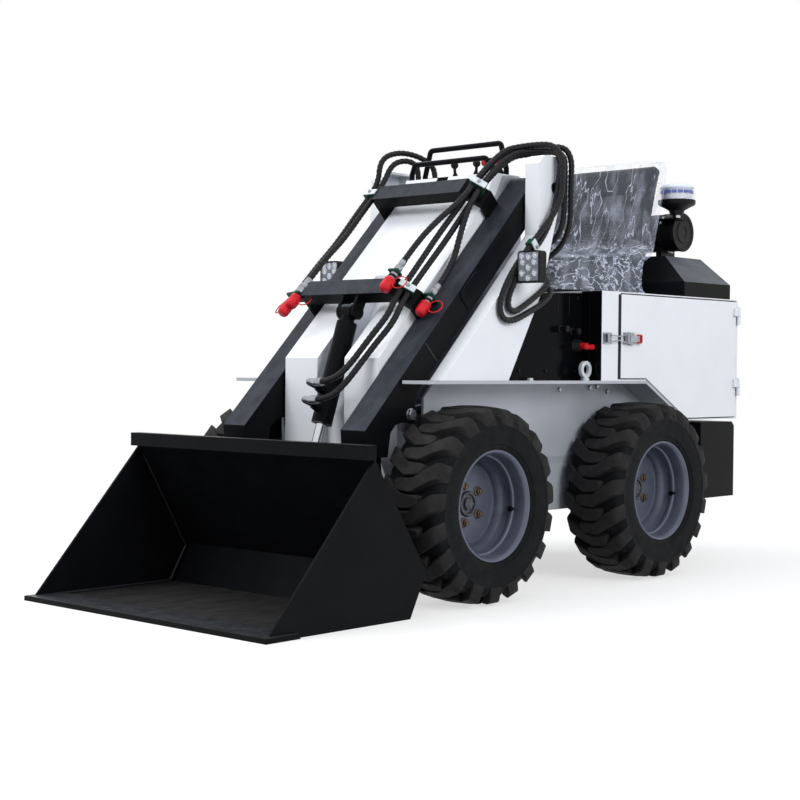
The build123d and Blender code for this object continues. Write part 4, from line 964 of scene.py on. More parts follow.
# ---------------------------------------------------------------- wheels
@dataclass
class Wheel:
    """A wheel: the tyre with its lugs, the dished rim, the nuts and the hub cap."""

    name: str
    side: int
    lugs: int = 19
    outer: float = 0.2919
    rim_scale: float = 0.969
    face: float = -0.010
    circle: float = 0.05715
    nuts: int = 5
    first_nut: float = radians(20)
    lug_line: tuple = (
        # across the tyre, round the tread, half width, top radius, foot radius
        (0.1077, 0.056, 0.0215, 0.2480, 0.236),
        (0.1045, 0.054, 0.0235, 0.2660, 0.240),
        (0.0975, 0.050, 0.0250, 0.2810, 0.246),
        (0.0860, 0.044, 0.0258, 0.2868, 0.252),
        (0.0560, 0.026, 0.0238, 0.2895, 0.258),
        (0.0270, 0.006, 0.0215, 0.2913, 0.260),
        (0.0180, 0.001, 0.0208, 0.2916, 0.260),
        (-0.0100, 0.000, 0.0188, 0.2918, 0.260),
        (-0.0300, 0.001, 0.0172, 0.2912, 0.260),
        (-0.0400, 0.003, 0.0130, 0.2908, 0.260),
        (-0.0460, 0.005, 0.0080, 0.2904, 0.260),
    )

    def body(self) -> str:
        """The body that the wheel is."""
        return f"wheel_{self.name}"

    def seat(self) -> Matrix:
        """Transform from the wheel's own frame, its outer side along +X, to the machine's."""
        return Matrix.Translation(middle(f"tyre_{self.name}")) @ Matrix.Diagonal((self.side, 1, 1, 1))

    def settle(self, item: bpy.types.Object) -> bpy.types.Object:
        """Moves a piece's mesh to the wheel's place, with its faces outward."""
        item.data.transform(self.seat())
        if self.side < 0:
            item.data.flip_normals()
        return item

    @staticmethod
    def ring(profile: Sequence[tuple[float, float]]) -> Shape:
        """A ring of the wheel, turned from its closed profile."""
        return Shape().turned(profile, ORIGIN, X_AXIS, 96, closed=True)

    def lug(self) -> Shape:
        """One lug: a bent bar from the shoulder to the middle of the tread."""
        shape = Shape()
        loops = []
        for across, round_, half, top, foot in self.lug_line:
            loop = []
            for radius, reach in ((foot, -half - 0.008), (foot, half + 0.008), (top, half), (top, -half)):
                angle = (round_ + reach) / self.outer
                loop.append(Vector((across, radius * sin(angle), radius * cos(angle))))
            loops.append(loop)
        shape.rings(loops)
        bmesh.ops.bevel(shape.bm, geom=shape.bm.edges[:], offset=0.0018, segments=1, affect="EDGES")
        return shape

    def carcass(self) -> Shape:
        """The tyre under its lugs, with the rings moulded in its sides."""
        side = [(0.084, 0.1535), (0.093, 0.1640), (0.0975, 0.1672), (0.1000, 0.1715), (0.1010, 0.1760),
                (0.1020, 0.1790), (0.1046, 0.1806), (0.1054, 0.1850), (0.1066, 0.2050), (0.1072, 0.2200),
                (0.1068, 0.2330), (0.1074, 0.2345), (0.1074, 0.2372), (0.1056, 0.2392), (0.1020, 0.2490),
                (0.0950, 0.2590), (0.0850, 0.2640), (0.0560, 0.2668), (0.0250, 0.2680)]
        profile = [(-across, radius) for across, radius in side] + list(reversed(side))
        return self.ring(profile)

    def barrel(self) -> Shape:
        """The rim's barrel with its flanges and drop."""
        seen = [(0.0960, 0.1698), (0.0978, 0.1682), (0.0978, 0.1645), (0.0945, 0.1605), (0.0890, 0.1575),
                (0.0850, 0.1552), (0.0600, 0.1535), (0.0500, 0.1530), (0.0468, 0.1480), (0.0440, 0.1470),
                (0.0385, 0.1470), (0.0355, 0.1490), (0.0330, 0.1515), (0.0200, 0.1500), (0.0060, 0.1440),
                (-0.0020, 0.1370), (-0.0200, 0.1335), (-0.0750, 0.1335), (-0.0880, 0.1550), (-0.0975, 0.1645),
                (-0.0975, 0.1682), (-0.0960, 0.1698)]
        hidden = [(-0.0920, 0.1690), (-0.0800, 0.1600), (-0.0700, 0.1400), (0.0, 0.1480), (0.0300, 0.1570),
                  (0.0800, 0.1600), (0.0920, 0.1690)]
        profile = [(across, radius * self.rim_scale) for across, radius in seen + hidden]
        return self.ring(profile)

    def disc(self) -> Shape:
        """The wheel disc with its dished border."""
        face = self.face
        profile = [(face, 0.0385), (face, 0.1150), (face + 0.0028, 0.1166), (face + 0.0032, 0.1186),
                   (face + 0.0006, 0.1204), (face - 0.0010, 0.1282), (face - 0.0070, 0.1292),
                   (face - 0.0070, 0.0385)]
        return self.ring(profile)

    def nut(self) -> Shape:
        """A wheel nut on its cone washer and stud, at the top of the stud circle."""
        foot = (self.face, 0, self.circle)
        shape = Shape().turned([(0.0002, 0.0145), (0.0035, 0.0140), (0.0050, 0.0118)], foot, X_AXIS, 24)
        shape.turned([(0.0045, 0.0112), (0.0115, 0.0112), (0.0132, 0.0094)], foot, X_AXIS, 6)
        return shape.turned([(0.0130, 0.0062), (0.0165, 0.0062), (0.0172, 0.0052)], foot, X_AXIS, 16)

    def hub(self) -> Shape:
        """The axle with its flange behind the disc, and in front the hub's rim round a slotted nut."""
        shape = Shape()
        face = self.face
        low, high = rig.box(f"axle_{self.name}")
        start = min(abs(low.x), abs(high.x)) - abs(middle(f"tyre_{self.name}").x)
        behind = face - 0.0072
        shape.turned([(start, 0.0280), (start + 0.002, 0.0300), (behind - 0.0160, 0.0300),
                      (behind - 0.0140, 0.0320), (behind - 0.0140, 0.0900), (behind - 0.0120, 0.0920),
                      (behind, 0.0920), (behind, 0.0376), (face + 0.0020, 0.0376), (face + 0.0060, 0.0366),
                      (face + 0.0078, 0.0350), (face + 0.0078, 0.0300), (face + 0.0060, 0.0282),
                      (face + 0.0012, 0.0276), (face + 0.0012, 0.002)], ORIGIN, X_AXIS, 64)
        shape.turned([(face + 0.0010, 0.0205), (face + 0.0090, 0.0203), (face + 0.0100, 0.0190)],
                     ORIGIN, X_AXIS, 6)
        for turn in range(6):
            angle = tau * (turn + 0.5) / 6
            shape.ball((face + 0.0090, 0.0125 * cos(angle), 0.0125 * sin(angle)), 0.0036)
        return shape

    def valve(self) -> Shape:
        """The tyre valve with its rubber foot, on the barrel's ridge."""
        angle = radians(-8)
        outward = Vector((0, cos(angle), sin(angle)))
        foot = Vector((0.041, 0, 0)) + outward * 0.1428
        lean = (Vector((0.75, 0, 0)) - outward * 0.65).normalized()
        return Shape().turned([(-0.002, 0.0088), (0.004, 0.0080), (0.008, 0.0052), (0.024, 0.0046),
                               (0.026, 0.0050), (0.036, 0.0050), (0.038, 0.0038)], foot, lean, 18)

    def fit(self, shape: Shape, label: str, finish: Finish, slot: str,
            smooth: float = 38.0) -> bpy.types.Object:
        """A finished piece of the wheel, in its place."""
        return dress(self.settle(shape.mesh(f"{label}_{self.name}", smooth)), finish, slot, self.body())

    def build(self) -> None:
        """Makes the wheel's pieces."""
        body = self.body()
        tyre = self.fit(self.carcass(), "tyre_body", RUBBER, "tyre_rubber")
        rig.replaces(tyre, f"tyre_{self.name}")
        step = tau / self.lugs
        for label, mirror, start in (("outer", 1, 0.0), ("inner", -1, step / 2)):
            lugs = Repeat.ring(f"lugs_{label}_{self.name}", self.lug(), self.lugs, TREAD, start, step, 25)
            if mirror < 0:
                lugs.data.transform(Matrix.Diagonal((-1, 1, 1, 1)))
                lugs.data.flip_normals()
            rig.slot(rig.ride(self.settle(lugs), body), "tyre_rubber")
        rim = self.fit(self.barrel(), "barrel", RIM, "rim_paint", 30)
        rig.replaces(rim, f"rim_{self.name}")
        self.fit(self.disc(), "disc", RIM, "rim_paint", 30)
        nuts = Repeat.ring(f"nuts_{self.name}", self.nut(), self.nuts, ZINC, self.first_nut)
        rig.slot(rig.ride(self.settle(nuts), body), "zinc_steel")
        axle = self.fit(self.hub(), "hub", HUB, "zinc_steel")
        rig.replaces(axle, f"axle_{self.name}")
        self.fit(self.valve(), "valve", RUBBER, "tyre_rubber")


# ---------------------------------------------------------------- hoses
@dataclass
class Hose:
    """One hydraulic hose in its wrapped sleeve."""

    name: str
    length: float
    route: Sequence[Point]
    far_end: str
    blend: tuple[Point, float, float]
    diameter: float = 0.019
    pitch: float = 0.016
    step: float = 0.004
    ridge: float = 0.0006

    def line(self) -> list[Vector]:
        """Points of the hose's smooth middle line."""
        data = bpy.data.curves.new(self.name + "_line", "CURVE")
        data.dimensions = "3D"
        data.resolution_u = 10
        spline = data.splines.new("NURBS")
        spline.points.add(len(self.route) - 1)
        for point, place in zip(spline.points, self.route):
            point.co = (*place, 1)
        spline.order_u = 3
        spline.use_endpoint_u = True
        holder = place_object(self.name + "_line", data)
        mesh = solved_mesh(holder)
        points = [vert.co.copy() for vert in mesh.vertices]
        bpy.data.objects.remove(holder)
        bpy.data.meshes.remove(mesh)
        return points

    def evenly(self, points: Sequence[Vector]) -> list[Vector]:
        """Points of a line, spaced evenly along it."""
        spans = [(after - before).length for before, after in zip(points, points[1:])]
        count = ceil(sum(spans) / self.step)
        pace = sum(spans) / count
        made, index, passed = [points[0].copy()], 0, 0.0
        for number in range(1, count):
            target = number * pace
            while passed + spans[index] < target:
                passed += spans[index]
                index += 1
            made.append(points[index].lerp(points[index + 1], (target - passed) / spans[index]))
        return made + [points[-1].copy()]

    def wrap(self, index: int, angle: float) -> float:
        """Radius of the sleeve: two flat strips wound round the hose."""
        wave, flat = cos(2 * (angle - tau * index * self.step / self.pitch / 2)), 0.6
        return self.diameter / 2 - 0.0001 + self.ridge * max(-flat, min(flat, wave)) / flat

    def build(self, with_pieces: Sequence[bpy.types.Object] = ()) -> bpy.types.Object:
        """Makes the hose.

        Args:
            with_pieces: Pieces on its far end.

        Returns:
            The hose.
        """
        path = self.evenly(self.line())
        item = Shape().pipe(path, self.wrap, 14).mesh(self.name + "_tube", 60)
        item.data.materials.append(SLEEVE.make())
        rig.slot(item, "hose_rubber")
        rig.replaces(item, self.name)
        direction, low, high = self.blend
        along = Vector(direction)
        start, end = along * (low / along.length_squared), along * (high / along.length_squared)
        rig.blend(item, "lift_arms", "chassis", start=tuple(start), end=tuple(end))
        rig.cord(item, exit=self.route[0], length=self.length, diameter=self.diameter, far_end=self.far_end,
                stiffness="stiff", lay="hanging", path=[tuple(point) for point in path],
                with_pieces=with_pieces)
        log.info("%s: %.3f m", self.name, sum((b - a).length for a, b in zip(path, path[1:])))
        return item


@dataclass
class Hydraulics:
    """The hoses with their clamps, elbows and quick couplers."""

    diameter: float = 0.019
    clamp_x: float = 0.190
    clamp_rise: float = 0.122
    row_gap: float = 0.022
    pitch_half: float = 0.012
    upper_run: float = 0.140
    lower_run: float = 0.600
    far_rise: float = 0.140
    tower_clamp: Point = (0.377, 0.023, 1.0715)
    tower_slope: float = radians(41)
    elbow_runs: tuple = (0.262, 0.318)
    plate_height: float = 0.0034
    coupler_rows: tuple = (
        # name, x, run and rise of the coupler's start
        ("aux_a", 0.168, 0.528, 0.176),
        ("aux_b", 0.240, 0.522, 0.068),
        ("aux_c", -0.236, 0.560, 0.148),
        ("aux_d", -0.259, 0.586, 0.140),
    )

    def in_clamp(self, run: float, row: int, along: int) -> Point:
        """Middle of a hose over the left chamfer: its row, and its place along the row."""
        diagonal = sin(pi / 4)
        off = (self.diameter / 2 + 0.003 + row * self.row_gap) * diagonal
        shift = along * self.pitch_half * diagonal
        return PLAN.on_arm(self.clamp_x + off + shift, run, self.clamp_rise + off - shift)

    def in_tower_clamp(self, side: int, along: float) -> Point:
        """Middle of the upper or lower line in the tower's clamp, some way up along it."""
        x, y, z = self.tower_clamp
        off = side * (self.pitch_half - 0.001)
        return (x, y + along * cos(self.tower_slope) - off * sin(self.tower_slope),
                z + along * sin(self.tower_slope) + off * cos(self.tower_slope))

    def elbow_spots(self) -> list[Point]:
        """Where the two tilt hoses meet the cylinder."""
        return [PLAN.on_tilt(0.030, run, 0.100) for run in self.elbow_runs]

    def routes(self) -> list[Hose]:
        """The six hoses, from their roots to their far ends."""
        arm, core = PLAN.on_arm, 0.200
        elbow_1, elbow_2 = self.elbow_spots()
        in_clamp, in_tower = self.in_clamp, self.in_tower_clamp
        tilt_a = [
            (core, 0.165, 1.062), (0.240, 0.165, 1.062), (0.290, 0.178, 1.078), (0.344, 0.186, 1.108),
            (0.370, 0.186, 1.150), (0.378, 0.182, 1.200), (0.380, 0.180, 1.262), (0.382, 0.182, 1.332),
            (0.374, 0.184, 1.378), (0.322, 0.182, 1.391), (0.252, 0.160, 1.386), (0.216, 0.108, 1.374),
            in_clamp(0.086, 0, 1), in_clamp(0.215, 0, 1), arm(0.204, 0.370, 0.116), in_clamp(0.530, 0, 1),
            in_clamp(0.650, 0, 1), arm(0.208, 0.722, 0.106), arm(0.178, 0.808, 0.094),
            (0.128, -0.577, 0.620), (0.080, *elbow_2[1:]), elbow_2,
        ]
        tilt_b = [
            (core, 0.165, 1.020), (0.240, 0.165, 1.020), (0.276, 0.190, 1.034), (0.330, 0.214, 1.072),
            (0.372, 0.212, 1.124), (0.392, 0.200, 1.180), (0.398, 0.192, 1.240), (0.400, 0.190, 1.310),
            (0.398, 0.194, 1.362), (0.368, 0.197, 1.404), (0.300, 0.186, 1.406), (0.226, 0.154, 1.400),
            (0.192, 0.096, 1.388), in_clamp(0.086, 0, -1), in_clamp(0.215, 0, -1), arm(0.188, 0.370, 0.141),
            in_clamp(0.530, 0, -1), in_clamp(0.650, 0, -1), arm(0.194, 0.712, 0.128),
            arm(0.172, 0.790, 0.118), (0.128, -0.560, 0.676), (0.080, *elbow_1[1:]), elbow_1,
        ]
        aux_a = [
            (core, 0.146, 0.962), (0.250, 0.146, 0.962), (0.318, 0.145, 0.960), (0.364, 0.138, 0.946),
            (0.379, 0.112, 0.922), (0.378, 0.066, 0.892), (0.377, 0.000, 0.866), (0.377, -0.060, 0.842),
            (0.377, -0.112, 0.838), (0.377, -0.140, 0.868), (0.377, -0.128, 0.918), (0.377, -0.084, 0.984),
            in_tower(1, -0.053), in_tower(1, 0.053), (0.398, 0.108, 1.184), (0.402, 0.138, 1.240),
            (0.402, 0.142, 1.310), (0.398, 0.144, 1.364), (0.364, 0.145, 1.404), (0.310, 0.137, 1.410),
            (0.250, 0.118, 1.406), (0.214, 0.080, 1.394), in_clamp(0.086, 1, -1), in_clamp(0.215, 1, -1),
            arm(0.178, 0.330, 0.168), arm(0.168, 0.440, 0.176), arm(0.168, 0.528, 0.176),
        ]
        aux_b = [
            (core, 0.118, 0.988), (0.250, 0.118, 0.988), (0.330, 0.119, 0.986), (0.374, 0.112, 0.972),
            (0.382, 0.086, 0.950), (0.378, 0.046, 0.922), (0.377, -0.016, 0.888), (0.377, -0.066, 0.866),
            (0.377, -0.098, 0.878), (0.377, -0.096, 0.912), (0.377, -0.062, 0.966), in_tower(-1, -0.053),
            in_tower(-1, 0.053), (0.380, 0.116, 1.168), (0.382, 0.138, 1.235), (0.383, 0.148, 1.300),
            (0.383, 0.156, 1.346), (0.370, 0.161, 1.380), (0.330, 0.160, 1.391), (0.282, 0.146, 1.393),
            (0.238, 0.092, 1.384), in_clamp(0.086, 1, 1), in_clamp(0.215, 1, 1), arm(0.234, 0.330, 0.108),
            arm(0.240, 0.430, 0.068), arm(0.240, 0.522, 0.068),
        ]
        aux_c = [
            (-0.178, 0.106, PLAN.console_top), (-0.178, 0.106, 1.352), (-0.190, 0.104, 1.384),
            (-0.216, 0.080, 1.396), (-0.232, 0.030, 1.378), arm(-0.234, 0.086, self.far_rise),
            arm(-0.234, 0.215, self.far_rise), arm(-0.231, 0.360, 0.138), arm(-0.236, 0.470, 0.148),
            arm(-0.236, 0.560, 0.148),
        ]
        aux_d = [
            (-0.160, 0.172, PLAN.console_top), (-0.160, 0.172, 1.352), (-0.174, 0.170, 1.386),
            (-0.210, 0.136, 1.416), (-0.238, 0.066, 1.424), (-0.253, -0.004, 1.394),
            arm(-0.256, 0.086, self.far_rise), arm(-0.256, 0.215, self.far_rise), arm(-0.259, 0.370, 0.132),
            arm(-0.259, 0.490, 0.140), arm(-0.259, 0.586, 0.140),
        ]
        back = ((0.0, 1.0, 0.0), 0.0, 0.165)
        outward = ((1.0, 0.6, -0.3), -0.160, -0.030)
        console = ((0.0, 1.0, 0.0), 0.015, 0.100)
        return [
            Hose("hose_tilt_a", 1.77, tilt_a, "object", back),
            Hose("hose_tilt_b", 1.84, tilt_b, "object", back),
            Hose("hose_aux_a", 1.90, aux_a, "connector", outward),
            Hose("hose_aux_b", 1.72, aux_b, "connector", outward),
            Hose("hose_aux_c", 0.70, aux_c, "connector", console),
            Hose("hose_aux_d", 0.84, aux_d, "connector", console),
        ]

    def coupler(self, name: str, x: float, run: float, rise: float) -> list[bpy.types.Object]:
        """A quick coupler with its collar, red cap and tether."""
        start, down = PLAN.on_arm(x, run, rise), PLAN.down()
        body = Shape()
        body.turned([(0.0, 0.0096), (0.001, 0.0112), (0.020, 0.0112), (0.021, 0.0100), (0.024, 0.0100)],
                    start, down, 28)
        body.turned([(0.024, 0.0122), (0.0255, 0.0132), (0.0385, 0.0132), (0.040, 0.0122)], start, down, 6)
        body.turned([(0.0395, 0.0100), (0.044, 0.0100), (0.0445, 0.0118), (0.0460, 0.0127), (0.0500, 0.0127),
                     (0.0512, 0.0119), (0.0530, 0.0119), (0.0542, 0.0127), (0.0620, 0.0127), (0.0632, 0.0119),
                     (0.0650, 0.0119), (0.0662, 0.0127), (0.0800, 0.0127), (0.0815, 0.0112), (0.086, 0.0110)],
                    start, down, 32)
        steel = body.piece(f"coupler_{name}", STEEL, "zinc_steel", "lift_arms")
        collar = Shape().turned([(0.0665, 0.0129), (0.0670, 0.0150), (0.0735, 0.0150), (0.0740, 0.0129)],
                                start, down, 32)
        black = collar.piece(f"coupler_collar_{name}", BARE, "black_plastic", "lift_arms")
        cap = Shape().turned([(0.080, 0.0150), (0.0815, 0.0178), (0.090, 0.0186), (0.0915, 0.0172),
                              (0.096, 0.0172), (0.0975, 0.0190), (0.116, 0.0180), (0.123, 0.0160),
                              (0.1265, 0.0120), (0.1270, 0.004)], start, down, 40)
        side = Vector((-1 if name == "aux_d" else 1, 0, 0))
        hook = Vector(start) + down * 0.088
        reach = 0.021
        angles = [tau * turn / 28 for turn in range(29)]
        loop = [hook + side * (0.016 + reach * (1 - cos(angle))) + down * (reach * sin(angle)) * 1.15
                - PLAN.up() * 0.006 * (1 - cos(angle)) for angle in angles]
        cap.pipe(loop, 0.0019, 8)
        red = cap.piece(f"coupler_cap_{name}", RED, "clamp_green", "lift_arms")
        return [steel, black, red]

    def cover(self, shape: Shape, long: float, wide: float, spot: Vector,
              turn: Sequence[Vector]) -> tuple[Point, Point]:
        """Adds a cover plate on a clamp.

        Args:
            shape: The shape that it becomes part of.
            long: Half its length, along the first direction.
            wide: Half its width, along the second direction.
            spot: Middle of its underside.
            turn: Its three directions, the last one out of the clamp.

        Returns:
            Seat and direction of its bolt.
        """
        top, outward = self.plate_height, turn[2]
        shape.slab((-long, -wide, -0.0002), (long, wide, top), 0.0009, Matrix.Translation(spot) @ axes(*turn))
        return tuple(spot + outward * top), tuple(outward)

    def clamp_tops(self) -> None:
        """White cover plates and bolts of the hose clamps."""
        left, up, down = Vector(X_AXIS), PLAN.up(), PLAN.down()
        outward, across = (left + up).normalized(), (left - up).normalized()
        covers, bolts = Shape(), []
        for run, rows in ((self.upper_run, 2), (self.lower_run, 1)):
            seat = Vector(PLAN.on_arm(self.clamp_x, run, self.clamp_rise))
            top = seat + outward * (rows * self.row_gap + 0.005)
            bolts.append(self.cover(covers, 0.027, 0.012, top, (across, down, outward)))
        far = Vector(PLAN.on_arm(-0.2463, self.upper_run, self.far_rise + 0.015))
        bolts.append(self.cover(covers, 0.026, 0.012, far, (left, down, up)))
        covers.piece("clamp_plates", PLATE, "zinc_steel", "lift_arms")
        Repeat.spots("clamp_bolts", hex_bolt(0.010, 0.006), bolts, STEEL, "zinc_steel", "lift_arms")
        lay = Vector((0, cos(self.tower_slope), sin(self.tower_slope)))
        plate, spot = Shape(), Vector(self.tower_clamp) + left * 0.013
        bolt = self.cover(plate, 0.012, 0.025, spot, (lay, lay.cross(left), left))
        plate.piece("tower_clamp_plate", PLATE, "zinc_steel")
        Repeat.spots("tower_clamp_bolt", hex_bolt(0.010, 0.006), [bolt], STEEL, "zinc_steel")

    def elbows(self) -> None:
        """Crimped ends and nuts where the tilt hoses meet the cylinder."""
        ends = Shape()
        for spot in self.elbow_spots():
            ends.turned([(-0.0200, 0.0118), (-0.0080, 0.0118)], spot, X_AXIS, 6)
            ends.turned([(-0.0080, 0.0105), (0.0, 0.0105), (0.002, 0.0122), (0.006, 0.0128), (0.030, 0.0128),
                         (0.033, 0.0118)], spot, X_AXIS, 28)
        ends.piece("tilt_hose_ends", STEEL, "zinc_steel", "tilt_barrel_body")

    def build(self) -> None:
        """Makes the hoses first, with their couplers, and then the clamps."""
        fittings = {name: self.coupler(name, x, run, rise) for name, x, run, rise in self.coupler_rows}
        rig.replaces(fittings["aux_a"][0], "couplers")
        for hose in self.routes():
            hose.build(fittings.get(hose.name.removeprefix("hose_"), ()))
        self.clamp_tops()
        self.elbows()


# ---------------------------------------------------------------- seat
@dataclass
class Seat:
    """The padded seat under its loose packing film."""

    half: float = 0.2335
    voxel: float = 0.007
    swell: float = 0.008
    pressure: float = 4.0
    piping: float = 0.0032
    channel: float = 0.012
    cloth_frames: int = 15
    tension: float = 12.0

    def inflate(self, item: bpy.types.Object) -> None:
        """Puffs a pad out with a short cloth simulation, and keeps each point near its start.

        Args:
            item: The pad, a closed mesh.
        """
        remesh = item.modifiers.new("even", "REMESH")
        remesh.mode = "VOXEL"
        remesh.voxel_size = self.voxel
        self.apply(item)
        start = [vert.co.copy() for vert in item.data.vertices]
        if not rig.quick():
            cloth = item.modifiers.new("pad", "CLOTH")
            cloth.settings.use_pressure = True
            cloth.settings.uniform_pressure_force = self.pressure
            cloth.settings.effector_weights.gravity = 0
            cloth.settings.quality = 4
            cloth.settings.tension_stiffness = self.tension
            for number in range(1, self.cloth_frames + 1):
                bpy.context.scene.frame_set(number)
            self.apply(item)
            bpy.context.scene.frame_set(1)
        for vert, origin in zip(item.data.vertices, start):
            moved = vert.co - origin
            if moved.length > self.swell:
                vert.co = origin + moved.normalized() * self.swell

    @staticmethod
    def apply(item: bpy.types.Object) -> None:
        """Makes an object's modifiers part of its mesh."""
        mesh = solved_mesh(item)
        item.modifiers.clear()
        item.data = mesh

    def groove(self, item: bpy.types.Object, lines: Sequence[float], face: Vector, across: Vector,
               depth: float = 0.006) -> None:
        """Sinks sewn channels across a pad.

        Args:
            item: The pad.
            lines: Places of the channels along the face.
            face: Direction that the face looks in.
            across: Direction from one channel to the next.
            depth: Depth of a channel.
        """
        data = item.data
        for vert in data.vertices:
            share = max(0.0, vert.normal.dot(face))
            near = min(abs(vert.co.dot(across) - line) for line in lines)
            vert.co -= face * depth * share * max(0.0, 1 - near / self.channel) ** 2

    def pad(self, name: str, outline: Sequence[tuple[float, float]], inset: float) -> bpy.types.Object:
        """A puffed pad.

        Args:
            name: Name of the pad.
            outline: Its outline from the side.
            inset: How far its ends stay inside the seat's width.

        Returns:
            The pad.
        """
        reach = self.half - inset
        item = Shape().prism(outline, Axis.X, -reach, reach, 0.014).mesh(name)
        self.inflate(item)
        return item

    def cushion(self) -> bpy.types.Object:
        """The seat cushion, with its sewn channels."""
        low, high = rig.box("seat_cushion")
        outline = [(low.y + 0.006, low.z), (high.y - 0.010, low.z), (high.y - 0.010, high.z - 0.014),
                   (low.y + 0.12, high.z - 0.010), (low.y + 0.03, high.z - 0.020),
                   (low.y + 0.006, high.z - 0.04)]
        item = self.pad("cushion_pad", outline, 0.008)
        self.groove(item, (-0.12, 0.12), Vector(Z_AXIS), Vector(X_AXIS))
        self.groove(item, (0.50, 0.64, 0.78), Vector(Z_AXIS), Vector((0, 1, 0)), 0.004)
        dress(item, HIDE, "seat_vinyl")
        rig.replaces(item, "seat_cushion")
        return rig.padded(item, fill=0.8)

    def backrest(self) -> bpy.types.Object:
        """The backrest, leaning back, with three sewn channels."""
        low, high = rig.box("seat_backrest")
        outline = [(low.y + 0.008, low.z + 0.004), (low.y + 0.062, low.z + 0.004),
                   (high.y - 0.008, high.z - 0.03), (high.y - 0.02, high.z - 0.010),
                   (high.y - 0.052, high.z - 0.010), (high.y - 0.066, high.z - 0.03)]
        item = self.pad("backrest_pad", outline, 0.010)
        lean = Vector((0, high.y - 0.066 - low.y, high.z - low.z)).normalized()
        face = Vector((0, -lean.z, lean.y))
        foot = Vector((0, low.y, low.z)).dot(lean)
        self.groove(item, (foot + 0.10, foot + 0.19, foot + 0.28), face, lean)
        dress(item, HIDE, "seat_vinyl")
        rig.replaces(item, "seat_backrest")
        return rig.padded(item, fill=0.8)

    def film(self) -> bpy.types.Object:
        """The packing film: a loose bag pulled over the seat, crumpled and creased."""
        levels = (
            # z, front y, back y, half width, squareness
            (1.4505, 0.954, 0.986, 0.170, 3.0), (1.4495, 0.944, 0.998, 0.214, 3.5),
            (1.4440, 0.936, 1.005, 0.238, 4.0), (1.420, 0.926, 1.006, 0.244, 5.0),
            (1.360, 0.912, 0.990, 0.245, 5.0), (1.280, 0.890, 0.968, 0.245, 5.0),
            (1.200, 0.866, 0.946, 0.246, 5.0), (1.140, 0.842, 0.930, 0.247, 5.0),
            (1.112, 0.796, 0.924, 0.250, 5.0), (1.096, 0.700, 0.918, 0.252, 5.0),
            (1.088, 0.560, 0.912, 0.254, 5.0), (1.080, 0.430, 0.906, 0.254, 5.0),
            (1.066, 0.364, 0.894, 0.254, 5.5), (1.040, 0.350, 0.882, 0.255, 6.0),
            (1.005, 0.344, 0.876, 0.256, 6.0), (0.976, 0.336, 0.876, 0.262, 6.0),
            (0.960, 0.326, 0.880, 0.270, 6.0),
        )
        fine, around = 9, 260
        loops = []
        for upper, lower in zip(levels, levels[1:]):
            for step in range(fine):
                share = step / fine
                loops.append(self.loop([a + (b - a) * share for a, b in zip(upper, lower)], around))
        loops.append(self.loop(levels[-1], around))
        shape = Shape().rings(loops, capped=False)
        shape.bm.faces.new(self.first(shape, around))
        item = shape.mesh("seat_film", 180)
        self.crumple(item)
        dress(item, FILM, "lens_clear")
        area = sum(face.area for face in item.data.polygons)
        log.info("film area %.3f m2", area)
        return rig.sheet(item, flat=(1.10, 1.12), held="draped", rests_on=["seat_cushion", "seat_backrest"])

    @staticmethod
    def first(shape: Shape, count: int) -> list[bmesh.types.BMVert]:
        """Vertices of a shape's first loop."""
        shape.bm.verts.ensure_lookup_table()
        return [shape.bm.verts[index] for index in range(count)]

    @staticmethod
    def loop(level: Sequence[float], around: int) -> list[Vector]:
        """A rounded rectangle at one height."""
        z, front, back, half, square = level
        points = []
        for turn in range(around):
            angle = tau * turn / around
            c, s = cos(angle), sin(angle)
            x = abs(c) ** (2 / square) * (1 if c > 0 else -1)
            y = abs(s) ** (2 / square) * (1 if s > 0 else -1)
            points.append(Vector((half * x, (front + back) / 2 + (back - front) / 2 * y, z)))
        return points

    @staticmethod
    def crumple(item: bpy.types.Object) -> None:
        """Folds and small creases, deepest in the loose skirt and shallow where the film is pulled tight."""
        skirt_top, skirt_band = 1.14, 0.10
        for vert in item.data.vertices:
            place = vert.co
            skirt = max(0.0, min(1.0, (skirt_top - place.z) / skirt_band))
            tall = Vector((place.x * 9, place.y * 9, place.z * 2.2))
            folds = noise.ridged_multi_fractal(tall, 1.0, 2.1, 4, 1.0, 2.0) - 1.1
            creases = noise.ridged_multi_fractal(place * 15 + Vector((3, 1, 7)), 0.9, 2.2, 5, 1.0, 2.0) - 1.1
            wander = noise.noise(place * 5 + Vector((9, 4, 2)))
            depth = (0.0045 + 0.0025 * skirt) * folds + (0.0006 + 0.0095 * skirt) * creases + 0.004 * wander
            vert.co = place + vert.normal * max(-0.004, min(0.006 + 0.015 * skirt, depth))

    def stitches(self) -> None:
        """Piping along the cushion's front edge and round its corners."""
        low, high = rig.box("seat_cushion")
        reach, ahead, z = self.half - 0.004, low.y + 0.012, high.z - 0.030
        corner, steps = 0.045, 8
        line = [(-reach, high.y - 0.05, z), (-reach, ahead + corner, z)]
        for turn in range(1, steps):
            angle = pi / 2 * turn / steps
            line.append((-reach + corner * (1 - cos(angle)), ahead + corner * (1 - sin(angle)), z))
        line = line + [(-x, y, z) for x, y, z in reversed(line)]
        shape = Shape().pipe([Vector(point) for point in line], self.piping, 10)
        shape.piece("cushion_piping", THREAD, "seat_vinyl")

    def build(self) -> None:
        """Makes the seat."""
        self.cushion()
        self.backrest()
        self.stitches()
        self.film()


